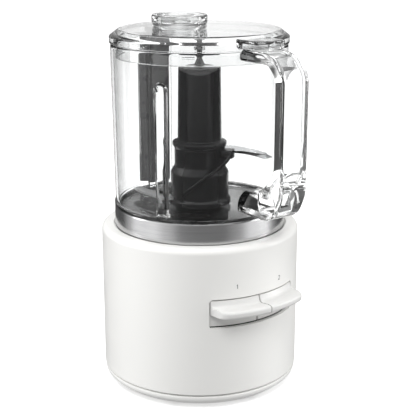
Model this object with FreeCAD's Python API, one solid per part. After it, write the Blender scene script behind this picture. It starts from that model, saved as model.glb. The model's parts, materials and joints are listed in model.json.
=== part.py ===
import FreeCAD, Part
import math
import os

# Cordless table-top food processor: a round battery base with two front paddles, a clear
# handled bowl with a clear lid and pouring cap, and a two-blade rotor on a central spindle.
# Millimetres. +Z up, paddles and handle face -Y. All shapes are drawn about the spindle axis
# and moved by AXIS_Y at export, so that the origin is the middle of the footprint on the table.

V = FreeCAD.Vector

# ---------------------------------------------------------------- driving dimensions
HANDLE_R = 111.0           # outermost reach of the handle from the spindle axis
BASE_R = 75.0              # outside radius of the base
AXIS_Y = (HANDLE_R - BASE_R) / 2.0
FOOT_H = 3.0               # height of the rubber feet
SEAM_Z = 11.0              # seam between bottom cover and housing
DECK_Z = 124.0             # top of the white housing
SHOULDER_R = 7.5           # rounding of the housing's top edge
WALL = 3.0                 # housing wall
RING_R = 64.8              # trim ring outside radius
RING_TOP = 139.0
DARK_DECK_TOP = 134.6
BOWL_FLOOR = 135.2         # underside of the bowl floor
BOWL_RIM = 259.5
BOWL_R_TOP = 65.2
BOWL_R_LOW = 63.95
BOWL_T = 2.2
CHIMNEY_RO = 13.2
CHIMNEY_RI = 11.0
CHIMNEY_TOP = 163.0
LID_TOP = 270.0
LID_FLAT_R = 58.8
LID_R = 66.0
LID_RIM_TOP = 265.0
LID_RIM_BOTTOM = 260.2
SKIRT_BOTTOM = 250.2
CAP_X, CAP_Y = -11.8, 8.4  # centre of the pouring cap, from the spindle axis
CAP_R = 20.4
CAP_TOP = 280.0
CAP_HOLE_R = 8.8
HUB_SKIRT_R = 22.0
HUB_STEP_R = 19.0
HUB_TUBE_R0, HUB_TUBE_R1 = 16.5, 15.8
HUB_TOP = 241.0
HEX_AF = 15.0              # spindle, across flats
HEX_GAP = 0.25
UPPER_BLADE_Z = 178.6
LOWER_BLADE_Z = 143.2
BLADE_T = 1.4
GEAR_M = 1.0
PINION_N, GEAR_N = 12, 36
MOTOR_Y = GEAR_M * (PINION_N + GEAR_N) / 2.0
MOTOR_R = 19.0
PIVOT_Y, PIVOT_Z = -52.0, 86.0
PADDLE_X = 36.8            # half-width of the paddle pair
PADDLE_LIP_R = 89.4
BAY_X = 35.0               # battery opening half-width
BAY_Z0, BAY_Z1 = 17.2, 46.8
COLUMN_X0, COLUMN_X1 = -6.5, 11.5   # column width, a little off the centre line
COLUMN_Y0, COLUMN_Y1 = 60.3, 74.5
ROD_X, ROD_Y = 2.5, 67.8
HANDLE_W = 23.0

os.makedirs("parts", exist_ok=True)


# ---------------------------------------------------------------- helpers
def cyl(r, z0, z1, x=0.0, y=0.0):
    return Part.makeCylinder(r, z1 - z0, V(x, y, z0))


def cyl_y(r, y0, y1, x, z):
    return Part.makeCylinder(r, y1 - y0, V(x, y0, z), V(0, 1, 0))


def cyl_x(r, x0, x1, y, z):
    return Part.makeCylinder(r, x1 - x0, V(x0, y, z), V(1, 0, 0))


def box(x0, x1, y0, y1, z0, z1):
    return Part.makeBox(x1 - x0, y1 - y0, z1 - z0, V(x0, y0, z0))


def tube(ro, ri, z0, z1, x=0.0, y=0.0):
    return cyl(ro, z0, z1, x, y).cut(cyl(ri, z0 - 1, z1 + 1, x, y))


def revolve(points, x=0.0, y=0.0):
    """Full turn about Z of a closed (r, z) outline. A 3-tuple (r, z, R) rounds that corner."""
    pts = rounded(points)
    edges = []
    n = len(pts)
    for kind, a, b, m in segs(pts):
        pa, pb = V(a[0], 0, a[1]), V(b[0], 0, b[1])
        if kind == "l":
            if pa.distanceToPoint(pb) > 1e-6:
                edges.append(Part.LineSegment(pa, pb).toShape())
        else:
            edges.append(Part.Arc(pa, V(m[0], 0, m[1]), pb).toShape())
    face = Part.Face(Part.Wire(edges))
    s = face.revolve(V(0, 0, 0), V(0, 0, 1), 360)
    s.translate(V(x, y, 0))
    return s


def rounded(points):
    """Turn corners with a radius into (start, mid, end) arcs."""
    out = []
    n = len(points)
    for i in range(n):
        p = points[i]
        if len(p) == 2 or p[2] <= 0:
            out.append(("p", (p[0], p[1])))
            continue
        a, b = points[i - 1], points[(i + 1) % n]
        ux, uy = a[0] - p[0], a[1] - p[1]
        vx, vy = b[0] - p[0], b[1] - p[1]
        lu, lv = math.hypot(ux, uy), math.hypot(vx, vy)
        ux, uy, vx, vy = ux / lu, uy / lu, vx / lv, vy / lv
        cosang = max(-1, min(1, ux * vx + uy * vy))
        half = math.acos(cosang) / 2.0
        t = p[2] / math.tan(half)
        s = (p[0] + ux * t, p[1] + uy * t)
        e = (p[0] + vx * t, p[1] + vy * t)
        bx, by = ux + vx, uy + vy
        lb = math.hypot(bx, by)
        c = (p[0] + bx / lb * p[2] / math.sin(half), p[1] + by / lb * p[2] / math.sin(half))
        m = (c[0] - bx / lb * p[2], c[1] - by / lb * p[2])
        out.append(("a", s, m, e))
    return out


def segs(pts):
    res = []
    n = len(pts)
    for i in range(n):
        cur, nxt = pts[i], pts[(i + 1) % n]
        end = cur[1] if cur[0] == "p" else cur[3]
        if cur[0] == "a":
            res.append(("a", cur[1], cur[3], cur[2]))
        start = nxt[1]
        res.append(("l", end, start, None))
    return res


def outline_face(points, plane):
    """Closed face from 2-D points (with optional corner radii) in plane 'yz' or 'xy'."""
    def conv(q):
        return V(0, q[0], q[1]) if plane == "yz" else V(q[0], q[1], 0)
    edges = []
    for kind, a, b, m in segs(rounded(points)):
        pa, pb = conv(a), conv(b)
        if kind == "l":
            if pa.distanceToPoint(pb) > 1e-6:
                edges.append(Part.LineSegment(pa, pb).toShape())
        else:
            edges.append(Part.Arc(pa, conv(m), pb).toShape())
    return Part.Face(Part.Wire(edges))


def prism_x(points, x0, x1):
    f = outline_face(points, "yz")
    f.translate(V(x0, 0, 0))
    return f.extrude(V(x1 - x0, 0, 0))


def prism_z(points, z0, z1):
    f = outline_face(points, "xy")
    f.translate(V(0, 0, z0))
    return f.extrude(V(0, 0, z1 - z0))


def hexagon(af, z0, z1):
    r = af / math.sqrt(3.0)
    pts = [(r * math.cos(math.radians(60 * i)), r * math.sin(math.radians(60 * i))) for i in range(6)]
    return prism_z(pts, z0, z1)


def polar(r, deg_from_front):
    """Point at radius r, angle measured from the front (-Y) towards +X."""
    a = math.radians(deg_from_front)
    return (r * math.sin(a), -r * math.cos(a))


def skin(sections):
    """Closed solid through a row of matching polygons (lists of points)."""
    faces = []
    n = len(sections[0])
    for s0, s1 in zip(sections[:-1], sections[1:]):
        for i in range(n):
            a, b, c, d = s0[i], s0[(i + 1) % n], s1[(i + 1) % n], s1[i]
            faces.append(Part.Face(Part.makePolygon([a, b, c, a])))
            faces.append(Part.Face(Part.makePolygon([a, c, d, a])))
    for s in (sections[0], sections[-1]):
        for i in range(1, n - 1):
            faces.append(Part.Face(Part.makePolygon([s[0], s[i], s[i + 1], s[0]])))
    shell = Part.Shell(faces)
    sol = Part.Solid(shell)
    if sol.Volume < 0:
        sol.reverse()
    return sol


def gear(n, m, z0, z1, bore, phase, backlash=0.16):
    """Spur gear with involute flanks, 25 degree pressure angle, stub teeth."""
    pa = math.radians(25)
    rp = m * n / 2.0
    rb = rp * math.cos(pa)
    ra = rp + 0.85 * m
    rf = rp - 1.15 * m
    inv = lambda a: math.tan(a) - a
    half = math.pi / (2 * n) - backlash / (2 * rp)

    def flank(r):
        r = max(r, rb)
        a = math.acos(rb / r)
        return half + inv(pa) - inv(a)
    pts = []
    steps = 5
    r0 = max(rb, rf)
    for k in range(n):
        c = 2 * math.pi * k / n + phase
        left = []
        for i in range(steps + 1):
            r = r0 + (ra - r0) * i / steps
            left.append((r, flank(r)))
        if rf < rb:
            left.insert(0, (rf, flank(rb)))
        for r, t in left:
            pts.append((r * math.cos(c - t), r * math.sin(c - t)))
        for r, t in reversed(left):
            pts.append((r * math.cos(c + t), r * math.sin(c + t)))
    s = prism_z(pts, z0, z1)
    if bore:
        s = s.cut(cyl(bore, z0 - 1, z1 + 1))
    return s


def coil(radius, wire, pitch, height, x, y, z):
    """Round-wire helix drawn as a closed faceted solid, twelve stations to the turn."""
    turns = height / pitch
    n = int(round(12 * turns))
    sections = []
    slope = math.atan2(pitch, 2 * math.pi * radius)
    for i in range(n + 1):
        a = 2 * math.pi * turns * i / n
        cx, cy, cz = radius * math.cos(a), radius * math.sin(a), height * i / n
        out = V(math.cos(a), math.sin(a), 0)
        along = V(-math.sin(a) * math.cos(slope), math.cos(a) * math.cos(slope), math.sin(slope))
        up = out.cross(along)
        ring_pts = []
        for k in range(8):
            b = 2 * math.pi * k / 8
            p = V(x + cx, y + cy, z + cz) + out * (wire / 2 * math.cos(b)) + up * (wire / 2 * math.sin(b))
            ring_pts.append(p)
        sections.append(ring_pts)
    return skin(sections)


def group(solids):
    return Part.makeCompound(solids)


def save(name, shape):
    shape = shape.copy()
    shape.translate(V(0, AXIS_Y, 0))
    sol = shape.Solids
    if len(sol) == 1:
        shape = sol[0]
    ok = shape.isValid()
    bb = shape.BoundBox
    print("%-22s solids %d valid %s vol %9.1f  x %.1f..%.1f y %.1f..%.1f z %.1f..%.1f" % (
        name, len(sol), ok, shape.Volume, bb.XMin, bb.XMax, bb.YMin, bb.YMax, bb.ZMin, bb.ZMax))
    shape.exportStep("parts/" + name + ".step")


# ================================================================ base: covers
RI = BASE_R - WALL
housing = revolve([
    (RI, SEAM_Z + 0.4), (73.4, SEAM_Z + 0.4), (73.4, SEAM_Z + 0.7), (BASE_R, SEAM_Z + 1.3, 0.5),
    (BASE_R, DECK_Z, SHOULDER_R), (RING_R + 0.5, DECK_Z), (RING_R + 0.5, DECK_Z - 0.6), (RING_R - 2.6, DECK_Z - 0.6),
    (RING_R - 2.6, DECK_Z), (13.0, DECK_Z), (13.0, 117.0), (17.0, 117.0), (17.0, 121.0), (RI, 121.0, SHOULDER_R - WALL + 0.2)])
# front paddle opening, rounded corners
front_cut = box(-PADDLE_X - 0.7, PADDLE_X + 0.7, -90, -40, 64.3, 86.3)
front_cut = front_cut.makeFillet(2.4, [e for e in front_cut.Edges if abs(e.Vertexes[0].Point.x - e.Vertexes[1].Point.x) < 1e-6
                                       and abs(e.Vertexes[0].Point.z - e.Vertexes[1].Point.z) < 1e-6])
housing = housing.cut(front_cut)
rear_cut = box(-BAY_X, BAY_X, 20, 90, BAY_Z0, BAY_Z1)
rear_cut = rear_cut.makeFillet(3.0, [e for e in rear_cut.Edges if abs(e.Vertexes[0].Point.x - e.Vertexes[1].Point.x) < 1e-6
                                     and abs(e.Vertexes[0].Point.z - e.Vertexes[1].Point.z) < 1e-6])
housing = housing.cut(rear_cut)
# four screw bosses standing inside the wall
BOSS = [polar(65.5, a) for a in (38, 128, 218, 308)]
for bx, by in BOSS:
    d = math.hypot(bx, by)
    post = cyl(4.0, 15.0, 30.0, bx, by)
    rib = box(-1.5, 1.5, 0, 7.0, 15.0, 30.0)
    rib.rotate(V(0, 0, 0), V(0, 0, 1), math.degrees(math.atan2(by, bx)) - 90)
    rib.translate(V(bx, by, 0))
    housing = housing.fuse(post).fuse(rib.common(cyl(RI + 0.5, 10, 40)))
for bx, by in BOSS:
    housing = housing.cut(cyl(1.4, 12, 27, bx, by))
housing = housing.removeSplitter()

bottom = revolve([
    (0, FOOT_H + 0.6), (66.0, FOOT_H + 0.6), (69.0, FOOT_H, 1.2), (74.6, 7.5, 4.0), (74.6, SEAM_Z - 0.6, 0.5),
    (73.0, SEAM_Z), (RI - 0.35, SEAM_Z), (RI - 0.35, 14.6), (RI - 2.2, 14.6), (RI - 2.2, 7.5, 1.5), (0, 6.4)])
FEET = [polar(58.0, a) for a in (0, 90, 180, 270)]
for fx, fy in FEET:
    bottom = bottom.cut(cyl(7.0, 0, FOOT_H + 1.2, fx, fy))
for bx, by in BOSS:
    bottom = bottom.fuse(cyl(4.0, 6.0, 14.8, bx, by))
for bx, by in BOSS:
    bottom = bottom.cut(cyl(1.7, 0, 20, bx, by)).cut(cyl(3.3, 0, 8.0, bx, by))
# rim cleared round the screw posts and the battery bay
bottom = bottom.cut(box(-BAY_X - 3.2, BAY_X + 3.2, 40, 80, 14.2, 20))
# board standoffs
BOARD_Y = -30.0
bottom = bottom.fuse(box(-30, -22, BOARD_Y - 4.5, BOARD_Y - 0.3, 6.0, 17.0)).fuse(box(22, 30, BOARD_Y - 4.5, BOARD_Y - 0.3, 6.0, 17.0))
bottom = bottom.removeSplitter()

feet = group([revolve([(0, 0), (6.0, 0, 0.8), (6.4, FOOT_H + 1.2), (0, FOOT_H + 1.2)], fx, fy) for fx, fy in FEET])


def screw(r, length, head_r, head_h, x, y, z):
    """Pan-head screw, head at the bottom, pointing up; z is the underside of its head."""
    s = revolve([(0, z - head_h), (head_r, z - head_h, 0.5), (head_r, z), (r, z), (r, z + length - r), (0.01, z + length), (0, z + length)], x, y)
    cross = box(-head_r * 0.62, head_r * 0.62, -0.35, 0.35, z - head_h - 1, z - head_h * 0.45)
    cross = cross.fuse(box(-0.35, 0.35, -head_r * 0.62, head_r * 0.62, z - head_h - 1, z - head_h * 0.45))
    cross.translate(V(x, y, 0))
    return s.cut(cross)


bottom_screws = group([screw(1.38, 16.0, 3.0, 2.2, bx, by, 8.0) for bx, by in BOSS])

# ================================================================ base: ring, dark deck, bearings
ring = revolve([(RING_R - 1.9, DECK_Z - 0.6), (RING_R, DECK_Z - 0.6), (RING_R, 130.0), (RING_R - 0.4, RING_TOP, 0.5), (RING_R - 1.7, RING_TOP, 0.5), (RING_R - 1.9, 130.0)])
ring = ring.common(cyl(80, DECK_Z - 0.6, 150))
deck = revolve([(9.6, DECK_Z + 0.1), (62.4, DECK_Z + 0.1), (62.4, DARK_DECK_TOP, 0.8), (40.0, DARK_DECK_TOP), (38.6, DARK_DECK_TOP - 1.2), (18.0, DARK_DECK_TOP - 1.2, 1.0),
                (16.0, DARK_DECK_TOP), (9.9, DARK_DECK_TOP), (9.9, 146.0, 0.8), (8.0, 146.0), (8.0, 141.5), (5.6, 141.5), (5.6, 130.0), (9.6, 130.0)])
seal = revolve([(5.15, 142.4), (7.98, 141.5), (7.98, 145.6, 0.4), (6.6, 145.6), (6.2, 143.4), (5.15, 144.6)])
upper_bearing = revolve([(5.03, 117.2), (6.6, 117.2, 0.4), (6.6, 118.2), (11.2, 118.2), (11.2, 117.2, 0.4), (12.98, 117.2, 0.5), (12.98, 123.8, 0.5), (11.2, 123.8, 0.4), (11.2, 122.8), (6.6, 122.8), (6.6, 123.8, 0.4), (5.03, 123.8)])

# ================================================================ base: gearbox plate, bushes, motor
plate = prism_z([(-34, -26, 6), (34, -26, 6), (34, 40, 14), (14, 52, 8), (-14, 52, 8), (-34, 40, 14)], 92.0, 95.0)
POSTS = [(-29, -20), (29, -20), (-26, 38), (26, 38)]
for px, py in POSTS:
    plate = plate.fuse(cyl(4.0, 94.5, 120.7, px, py))
plate = plate.cut(cyl(8.0, 80, 100)).cut(cyl(6.6, 80, 100, 0, MOTOR_Y))
MOTOR_HOLES = [(-12.5, MOTOR_Y), (12.5, MOTOR_Y)]
for px, py in MOTOR_HOLES:
    plate = plate.cut(cyl(1.6, 80, 100, px, py))
for px, py in POSTS:
    plate = plate.cut(cyl(1.25, 90, 110, px, py))
plate = plate.removeSplitter()
plate_screws = group([screw(1.23, 14.0, 2.8, 2.0, px, py, 92.0) for px, py in POSTS])
lower_bush = revolve([(5.05, 92.2), (8.0, 92.2), (8.0, 95.0), (9.5, 95.0), (9.5, 96.3), (5.05, 96.3)])

motor_can = revolve([(17.8, 52.0), (MOTOR_R, 52.0), (MOTOR_R, 92.0, 1.5), (6.5, 92.0), (6.5, 95.0, 0.4), (2.06, 95.0), (2.06, 90.6), (17.8, 90.6)], 0, MOTOR_Y)
for px, py in MOTOR_HOLES:
    motor_can = motor_can.cut(cyl(1.45, 89, 96, px, py))
motor_cap = revolve([(2.06, 54.3), (17.7, 54.3), (17.7, 52.0), (MOTOR_R, 52.0), (MOTOR_R, 50.2, 0.8), (9.0, 50.2), (8.0, 49.4), (2.06, 49.4)], 0, MOTOR_Y)
motor_cap = motor_cap.removeSplitter()
magnets = tube(17.78, 16.1, 57.0, 88.0, 0, MOTOR_Y)
magnets = magnets.cut(box(-4, 4, MOTOR_Y - 30, MOTOR_Y + 30, 50, 90))
magnets = group(magnets.Solids)
motor_screws = group([screw(1.43, 5.0, 2.6, 1.8, 0, 0, 0) for _ in range(2)])
tmp = []
for s, (px, py) in zip(motor_screws.Solids, MOTOR_HOLES):
    s = s.copy()
    s.rotate(V(0, 0, 0), V(1, 0, 0), 180)
    s.translate(V(px, py, 95.0))
    tmp.append(s)
motor_screws = group(tmp)

armature = revolve([(0, 49.6), (2.0, 49.6), (2.0, 57.0), (7.5, 57.0), (7.5, 62.0), (15.2, 62.0, 1.0), (15.2, 86.0, 1.0), (4.0, 86.0), (4.0, 89.8), (2.0, 89.8), (2.0, 107.5, 0.3), (0, 107.5)], 0, MOTOR_Y)
for k in range(6):
    a = math.radians(60 * k)
    slot = box(12.0, 17.0, -0.9, 0.9, 60.0, 88.0)
    slot.rotate(V(0, 0, 0), V(0, 0, 1), 60 * k)
    slot.translate(V(0, MOTOR_Y, 0))
    armature = armature.cut(slot)
# gears: the big gear has a tooth gap pointing at the pinion
GEAR_Z0, GEAR_Z1 = 99.0, 106.0
drive_gear = gear(GEAR_N, GEAR_M, GEAR_Z0, GEAR_Z1, 5.0, math.pi / 2 + math.pi / GEAR_N)
for k in range(6):
    px, py = polar(10.8, 60 * k)
    drive_gear = drive_gear.cut(cyl(2.4, 90, 110, px, py))
drive_gear = drive_gear.fuse(tube(7.2, 5.0, GEAR_Z0 - 1.5, GEAR_Z1 + 3.0)).removeSplitter()
pinion = gear(PINION_N, GEAR_M, GEAR_Z0 - 0.5, GEAR_Z1 + 0.5, 2.0, -math.pi / 2)
pinion.translate(V(0, MOTOR_Y, 0))

# ================================================================ drive shaft and coupling
shaft = revolve([(0, 92.6), (4.97, 92.6, 0.4), (4.97, 150.0), (4.97, 172.0), (0, 172.0)])
coupling = hexagon(HEX_AF, 147.5, 176.0)
coupling = coupling.common(revolve([(0, 147.5), (9.0, 147.5), (9.0, 172.5), (5.5, 176.0), (0, 176.0)]))
coupling = coupling.cut(cyl(4.97, 140, 172.0))

# ================================================================ control board and switches
board = box(-33, 33, BOARD_Y - 1.6 + 1.3, BOARD_Y + 1.3, 12.0, 56.0)
for sx in (-26, 26):
    board = board.cut(cyl_y(1.7, BOARD_Y - 5, BOARD_Y + 5, sx, 14.8))
BF = BOARD_Y + 1.3 - 1.6       # front face of the board
chips = [box(-12, -2, BF - 1.6, BF, 30, 40), box(6, 16, BF - 4.2, BF, 24, 32), box(6, 16, BF - 4.2, BF, 36, 44),
         cyl_y(4.0, BF - 12.0, BF, -22, 44), cyl_y(4.0, BF - 12.0, BF, -22, 33),
         box(-28, -16, BF - 6.0, BF, 20.5, 27), box(18.5, 30, BF - 6.0, BF, 47, 54), box(-6, 4, BF - 2.0, BF, 46, 50)]
chips = group(chips)

frame = box(-39, 39, -46.0, -43.5, 57.0, 94.0)
for x0, x1 in ((-40.0, -37.4), (37.4, 40.0), (-1.4, 1.4)):
    cheek = prism_x([(-45.9, 78.0), (-45.9, 92.0), (-53.0, 91.0, 2.0), (-56.0, 86.0, 3.0), (-53.0, 81.0, 2.0)], x0, x1)
    frame = frame.fuse(cheek)
frame = frame.fuse(box(-40.0, -37.4, -46.0, -43.5, 57, 94)).fuse(box(37.4, 40.0, -46.0, -43.5, 57, 94))
frame = frame.cut(cyl_x(1.5, -45, 45, PIVOT_Y, PIVOT_Z))
frame = frame.cut(box(-28, -16, -50, -43, 84, 90)).cut(box(16, 28, -50, -43, 84, 90))
# legs that carry the frame from the gearbox plate
frame = frame.fuse(box(-33.5, -27.5, -46.0, -26.2, 92.0, 95.0)).fuse(box(27.5, 33.5, -46.0, -26.2, 92.0, 95.0))
frame = frame.removeSplitter()
pivot_pin = cyl_x(1.47, -41.0, 41.0, PIVOT_Y, PIVOT_Z)
switches = []
for sx in (-18, 18):
    s = box(sx - 6.4, sx + 6.4, -56.0, -46.1, 62.5, 72.5)
    s = s.makeFillet(0.6, s.Edges)
    s = s.fuse(cyl_y(1.6, -58.3, -55.0, sx, 68.2))
    for lx in (-4, 0, 4):
        s = s.fuse(box(sx + lx - 0.5, sx + lx + 0.5, -50.0, -49.2, 58.5, 63.5))
    switches.append(s.removeSplitter())
# lid sensor: a small board under the housing top, below the magnet of the interlock rod
lid_sensor = box(ROD_X - 6.0, ROD_X + 6.0, 56.0, 65.0, 119.3, 120.9).fuse(box(ROD_X - 2.0, ROD_X + 2.0, 60.0, 63.5, 118.1, 119.4)).removeSplitter()

# torsion springs round the pivot pin
spring_list = []
for sx in (-16.0, 10.0):
    c = coil(3.0, 0.8, 1.5, 6.0, 0, 0, 0)
    c.rotate(V(0, 0, 0), V(0, 1, 0), 90)
    c.translate(V(sx, PIVOT_Y, PIVOT_Z))
    spring_list.append(c)
paddle_springs = group(spring_list)

# ================================================================ paddles
paddle_ring = revolve([(70.6, 65.2), (72.5, 65.2, 0.4), (73.0, 74.2, 1.0), (PADDLE_LIP_R - 0.9, 75.4, 1.0), (PADDLE_LIP_R, 80.7, 1.3),
                       (82.5, 81.1, 20.0), (75.3, 80.9, 2.4), (74.7, 85.6, 0.6), (70.6, 85.6)])
# lip corners rounded in plan
corner_keep = prism_z([(-PADDLE_X, -30), (PADDLE_X, -30), (PADDLE_X, -84.2, 6.0), (20.0, -95.0), (-20.0, -95.0), (-PADDLE_X, -84.2, 6.0)], 60, 90)
paddles = []
for side in (-1, 1):
    x0, x1 = (0.45, PADDLE_X) if side > 0 else (-PADDLE_X, -0.45)
    p = paddle_ring.common(box(x0, x1, -100, -30, 60, 90)).common(corner_keep)
    ribs = []
    for rx in ((4.0, 7.0), (29.0, 32.0)):
        a, b = (rx[0], rx[1]) if side > 0 else (-rx[1], -rx[0])
        rib = prism_x([(-71.2, 68.0), (-71.2, 84.6), (-60.0, 89.0, 3.0), (PIVOT_Y, 90.0), (-47.6, 86.0, 3.0), (PIVOT_Y, 82.0), (-62.0, 77.0, 3.0)], a, b)
        rib = rib.common(cyl(71.2, 60, 95))
        ribs.append(rib)
    boss_y0 = -math.sqrt(71.2 ** 2 - 22.0 ** 2) - 0.5
    boss = box(side * 18 - 2.0, side * 18 + 2.0, boss_y0, -60.6, 66.6, 70.2).common(cyl(71.2, 60, 95))
    for r_ in ribs:
        p = p.fuse(r_)
    p = p.fuse(boss)
    p = p.cut(cyl_x(1.54, -50, 50, PIVOT_Y, PIVOT_Z))
    p = p.removeSplitter()
    paddles.append(p)

# ================================================================ battery bay and pack
bay = box(-37.0, 37.0, -9.0, 72.5, 15.0, 49.0).common(cyl(RI - 0.3, 0, 60))
bay = bay.cut(box(-BAY_X + 0.0, BAY_X, -7.0, 90, BAY_Z0, BAY_Z1))
bay = bay.cut(group([cyl(5.2, 14, 31, bx, by) for bx, by in BOSS]))
bay = bay.removeSplitter()
PACK_X = 34.5
pack_outer = box(-PACK_X, PACK_X, -4.0, 90.0, BAY_Z0 + 0.5, BAY_Z1 - 0.5)
pack_outer = pack_outer.makeFillet(2.6, [e for e in pack_outer.Edges if abs(e.Vertexes[0].Point.x - e.Vertexes[1].Point.x) < 1e-6
                                         and abs(e.Vertexes[0].Point.z - e.Vertexes[1].Point.z) < 1e-6])
pack = pack_outer.common(cyl(BASE_R - 0.2, 0, 60))
pack_in = box(-PACK_X + 1.6, PACK_X - 1.6, -2.4, 90.0, BAY_Z0 + 2.1, BAY_Z1 - 2.1).common(cyl(BASE_R - 1.9, 0, 60))
pack = pack.cut(pack_in)
BTN_X, BTN_Z0, BTN_Z1 = 11.0, 25.0, 38.0
pack = pack.cut(box(-BTN_X, BTN_X, 60, 90, BTN_Z0, BTN_Z1))
pack = pack.cut(box(-14, 14, -6, 0, 26, 38)).removeSplitter()
CELL_X = (-21.0, 0.0, 21.0)
cells = group([cyl_y(9.2, -1.9, 62.5, cx, 32.0) for cx in CELL_X])
button = box(-BTN_X + 0.4, BTN_X - 0.4, 66.0, 90.0, BTN_Z0 + 0.4, BTN_Z1 - 0.4)
button = button.makeFillet(1.6, [e for e in button.Edges if abs(e.Vertexes[0].Point.x - e.Vertexes[1].Point.x) < 1e-6
                                 and abs(e.Vertexes[0].Point.z - e.Vertexes[1].Point.z) < 1e-6])
button = button.common(cyl(BASE_R - 0.5, 0, 60))
for gz in (28.6, 31.5, 34.4):
    button = button.cut(box(-7.5, 7.5, BASE_R - 1.4, 90, gz - 0.45, gz + 0.45))
contact_block = box(-13.0, 13.0, -13.0, -9.0, 25.0, 39.0)
contact_block = contact_block.fuse(box(-11.0, 11.0, -9.1, -6.9, 27.0, 37.0))
contact_block = contact_block.fuse(group([box(cx - 0.5, cx + 0.5, -7.0, -4.6, 28.0, 36.0) for cx in (-9.0, -3.0, 3.0, 9.0)])).removeSplitter()
bay = bay.cut(box(-11.0, 11.0, -9.5, -6.5, 27.0, 37.0))

# ================================================================ bowl
def bowl_outer_r(z):
    return BOWL_R_LOW + (BOWL_R_TOP - BOWL_R_LOW) * min(1.0, max(0.0, (z - 142.0) / 90.0))


bowl = revolve([
    (CHIMNEY_RI, BOWL_FLOOR), (62.1, BOWL_FLOOR, 0.6), (62.1, RING_TOP + 0.3), (64.7, RING_TOP + 0.3, 0.4), (64.7, 141.4, 0.5), (BOWL_R_LOW, 142.4),
    (65.0, 217.0), (BOWL_R_TOP, BOWL_RIM, 0.5), (BOWL_R_TOP - BOWL_T, BOWL_RIM, 0.5), (65.0 - BOWL_T, 217.0), (BOWL_R_LOW - BOWL_T, 143.0), (BOWL_R_LOW - BOWL_T - 0.4, BOWL_FLOOR + 2.2, 4.0),
    (CHIMNEY_RO, BOWL_FLOOR + 2.2, 2.0), (CHIMNEY_RO - 0.3, CHIMNEY_TOP, 0.8), (CHIMNEY_RI, CHIMNEY_TOP)])
# rear channel that wraps the interlock column
chan_out = box(COLUMN_X0 - 1.7, COLUMN_X1 + 1.7, COLUMN_Y0 - 1.7, 66.0, RING_TOP + 0.3, BOWL_RIM).common(cyl(64.0, 130, 262))
chan_in = box(COLUMN_X0 - 0.3, COLUMN_X1 + 0.3, COLUMN_Y0 - 0.3, 80.0, 141.6, BOWL_RIM + 5)
bowl = bowl.fuse(chan_out).cut(chan_in)
# two vertical flutes in the wall
FLUTE = [polar(64.0, a) for a in (-60, 60)]
for fx, fy in FLUTE:
    rib = cyl(5.4, BOWL_FLOOR + 1.0, 233.0, fx, fy).fuse(Part.makeSphere(5.4, V(fx, fy, 233.0)))
    rib = rib.common(cyl(63.2, 130, 262))
    bowl = bowl.fuse(rib)
for a, (fx, fy) in zip((-60, 60), FLUTE):
    gx, gy = polar(65.9, a)
    rib = cyl(4.0, 143.5, 233.0, gx, gy).fuse(Part.makeSphere(4.0, V(gx, gy, 233.0)))
    bowl = bowl.cut(rib)
bowl = bowl.cut(tube(72.0, 62.1, 130.0, RING_TOP + 0.3)).removeSplitter()

# handle: bent bar in the plane x = 0
handle = prism_x([(-60.0, 262.0), (-90.0, 262.0, 26.0), (-104.0, 257.5, 14.0), (-111.0, 247.0, 16.0), (-110.8, 166.0, 16.0), (-104.0, 152.0, 14.0), (-92.0, 146.4, 14.0), (-60.0, 146.4),
                  (-60.0, 160.0), (-72.0, 164.5, 10.0), (-88.0, 168.0, 16.0), (-100.8, 182.0, 14.0), (-101.0, 246.0, 9.0), (-93.0, 253.6, 8.0), (-60.0, 253.6)],
                 -HANDLE_W / 2, HANDLE_W / 2)
edges = []
for e in handle.Edges:
    v = e.Vertexes
    xs = [w.Point.x for w in v]
    if all(abs(abs(x) - HANDLE_W / 2) < 1e-6 for x in xs) and abs(xs[0] - xs[-1]) < 1e-6:
        ys = [w.Point.y for w in v]
        if min(ys) < -60.001:
            edges.append(e)
try:
    handle = handle.makeFillet(2.8, edges)
except Exception as ex:
    print("handle fillet failed", ex)
# the lower arm is arched across its top, and a small cross hole runs through the corner
arch = box(-13.0, 13.0, -86.0, -55.0, 152.0, 170.0).cut(cyl_y(11.4, -90.0, -50.0, 0.0, 152.0))
handle = handle.cut(arch)
handle = handle.cut(cyl_x(2.5, -20.0, 20.0, -90.5, 153.5))
bowl_body = revolve([(0, 130), (64.75, 130), (64.75, 142.0), (BOWL_R_LOW, 142.4), (65.0, 217.0), (BOWL_R_TOP, BOWL_RIM), (BOWL_R_TOP, 270), (0, 270)])
handle = handle.cut(bowl_body)
handle = handle.cut(cyl(66.6, 259.0, 270.0)).removeSplitter()
if len(handle.Solids) > 1:
    handle = sorted(handle.Solids, key=lambda s: -s.Volume)[0]

# ================================================================ interlock column, rod and spring
# front stands in the bowl's channel, the back widens to follow the outside of the base
column = prism_z([(COLUMN_X0, COLUMN_Y0), (COLUMN_X1, COLUMN_Y0), (COLUMN_X1, 66.0, 1.0), (COLUMN_X1 + 4.0, 69.4, 1.2), (COLUMN_X1 + 4.0, 73.0, 1.6),
                  (ROD_X, COLUMN_Y1, 60.0), (COLUMN_X0 - 4.8, 73.2, 1.6), (COLUMN_X0 - 4.8, 69.4, 1.2), (COLUMN_X0, 66.0, 1.0)], 141.9, 259.3)
column = column.fuse(box(COLUMN_X0, COLUMN_X1, COLUMN_Y0, 63.9, 255.0, 263.6))
column = column.cut(cyl(2.35, 142.9, 270.0, ROD_X, ROD_Y)).cut(cyl(4.2, 148.0, 240.0, ROD_X, ROD_Y))
column = column.removeSplitter()
rod = revolve([(0, 150.4), (2.1, 150.4), (2.1, 190.0), (3.9, 190.0), (3.9, 192.0), (2.1, 192.0), (2.1, 259.8, 0.8), (0, 259.8)], ROD_X, ROD_Y)
rod_magnet = cyl(2.1, 146.4, 150.4, ROD_X, ROD_Y)
rod_spring = coil(3.1, 0.8, 4.1, 41.0, ROD_X, ROD_Y, 148.5)

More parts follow.
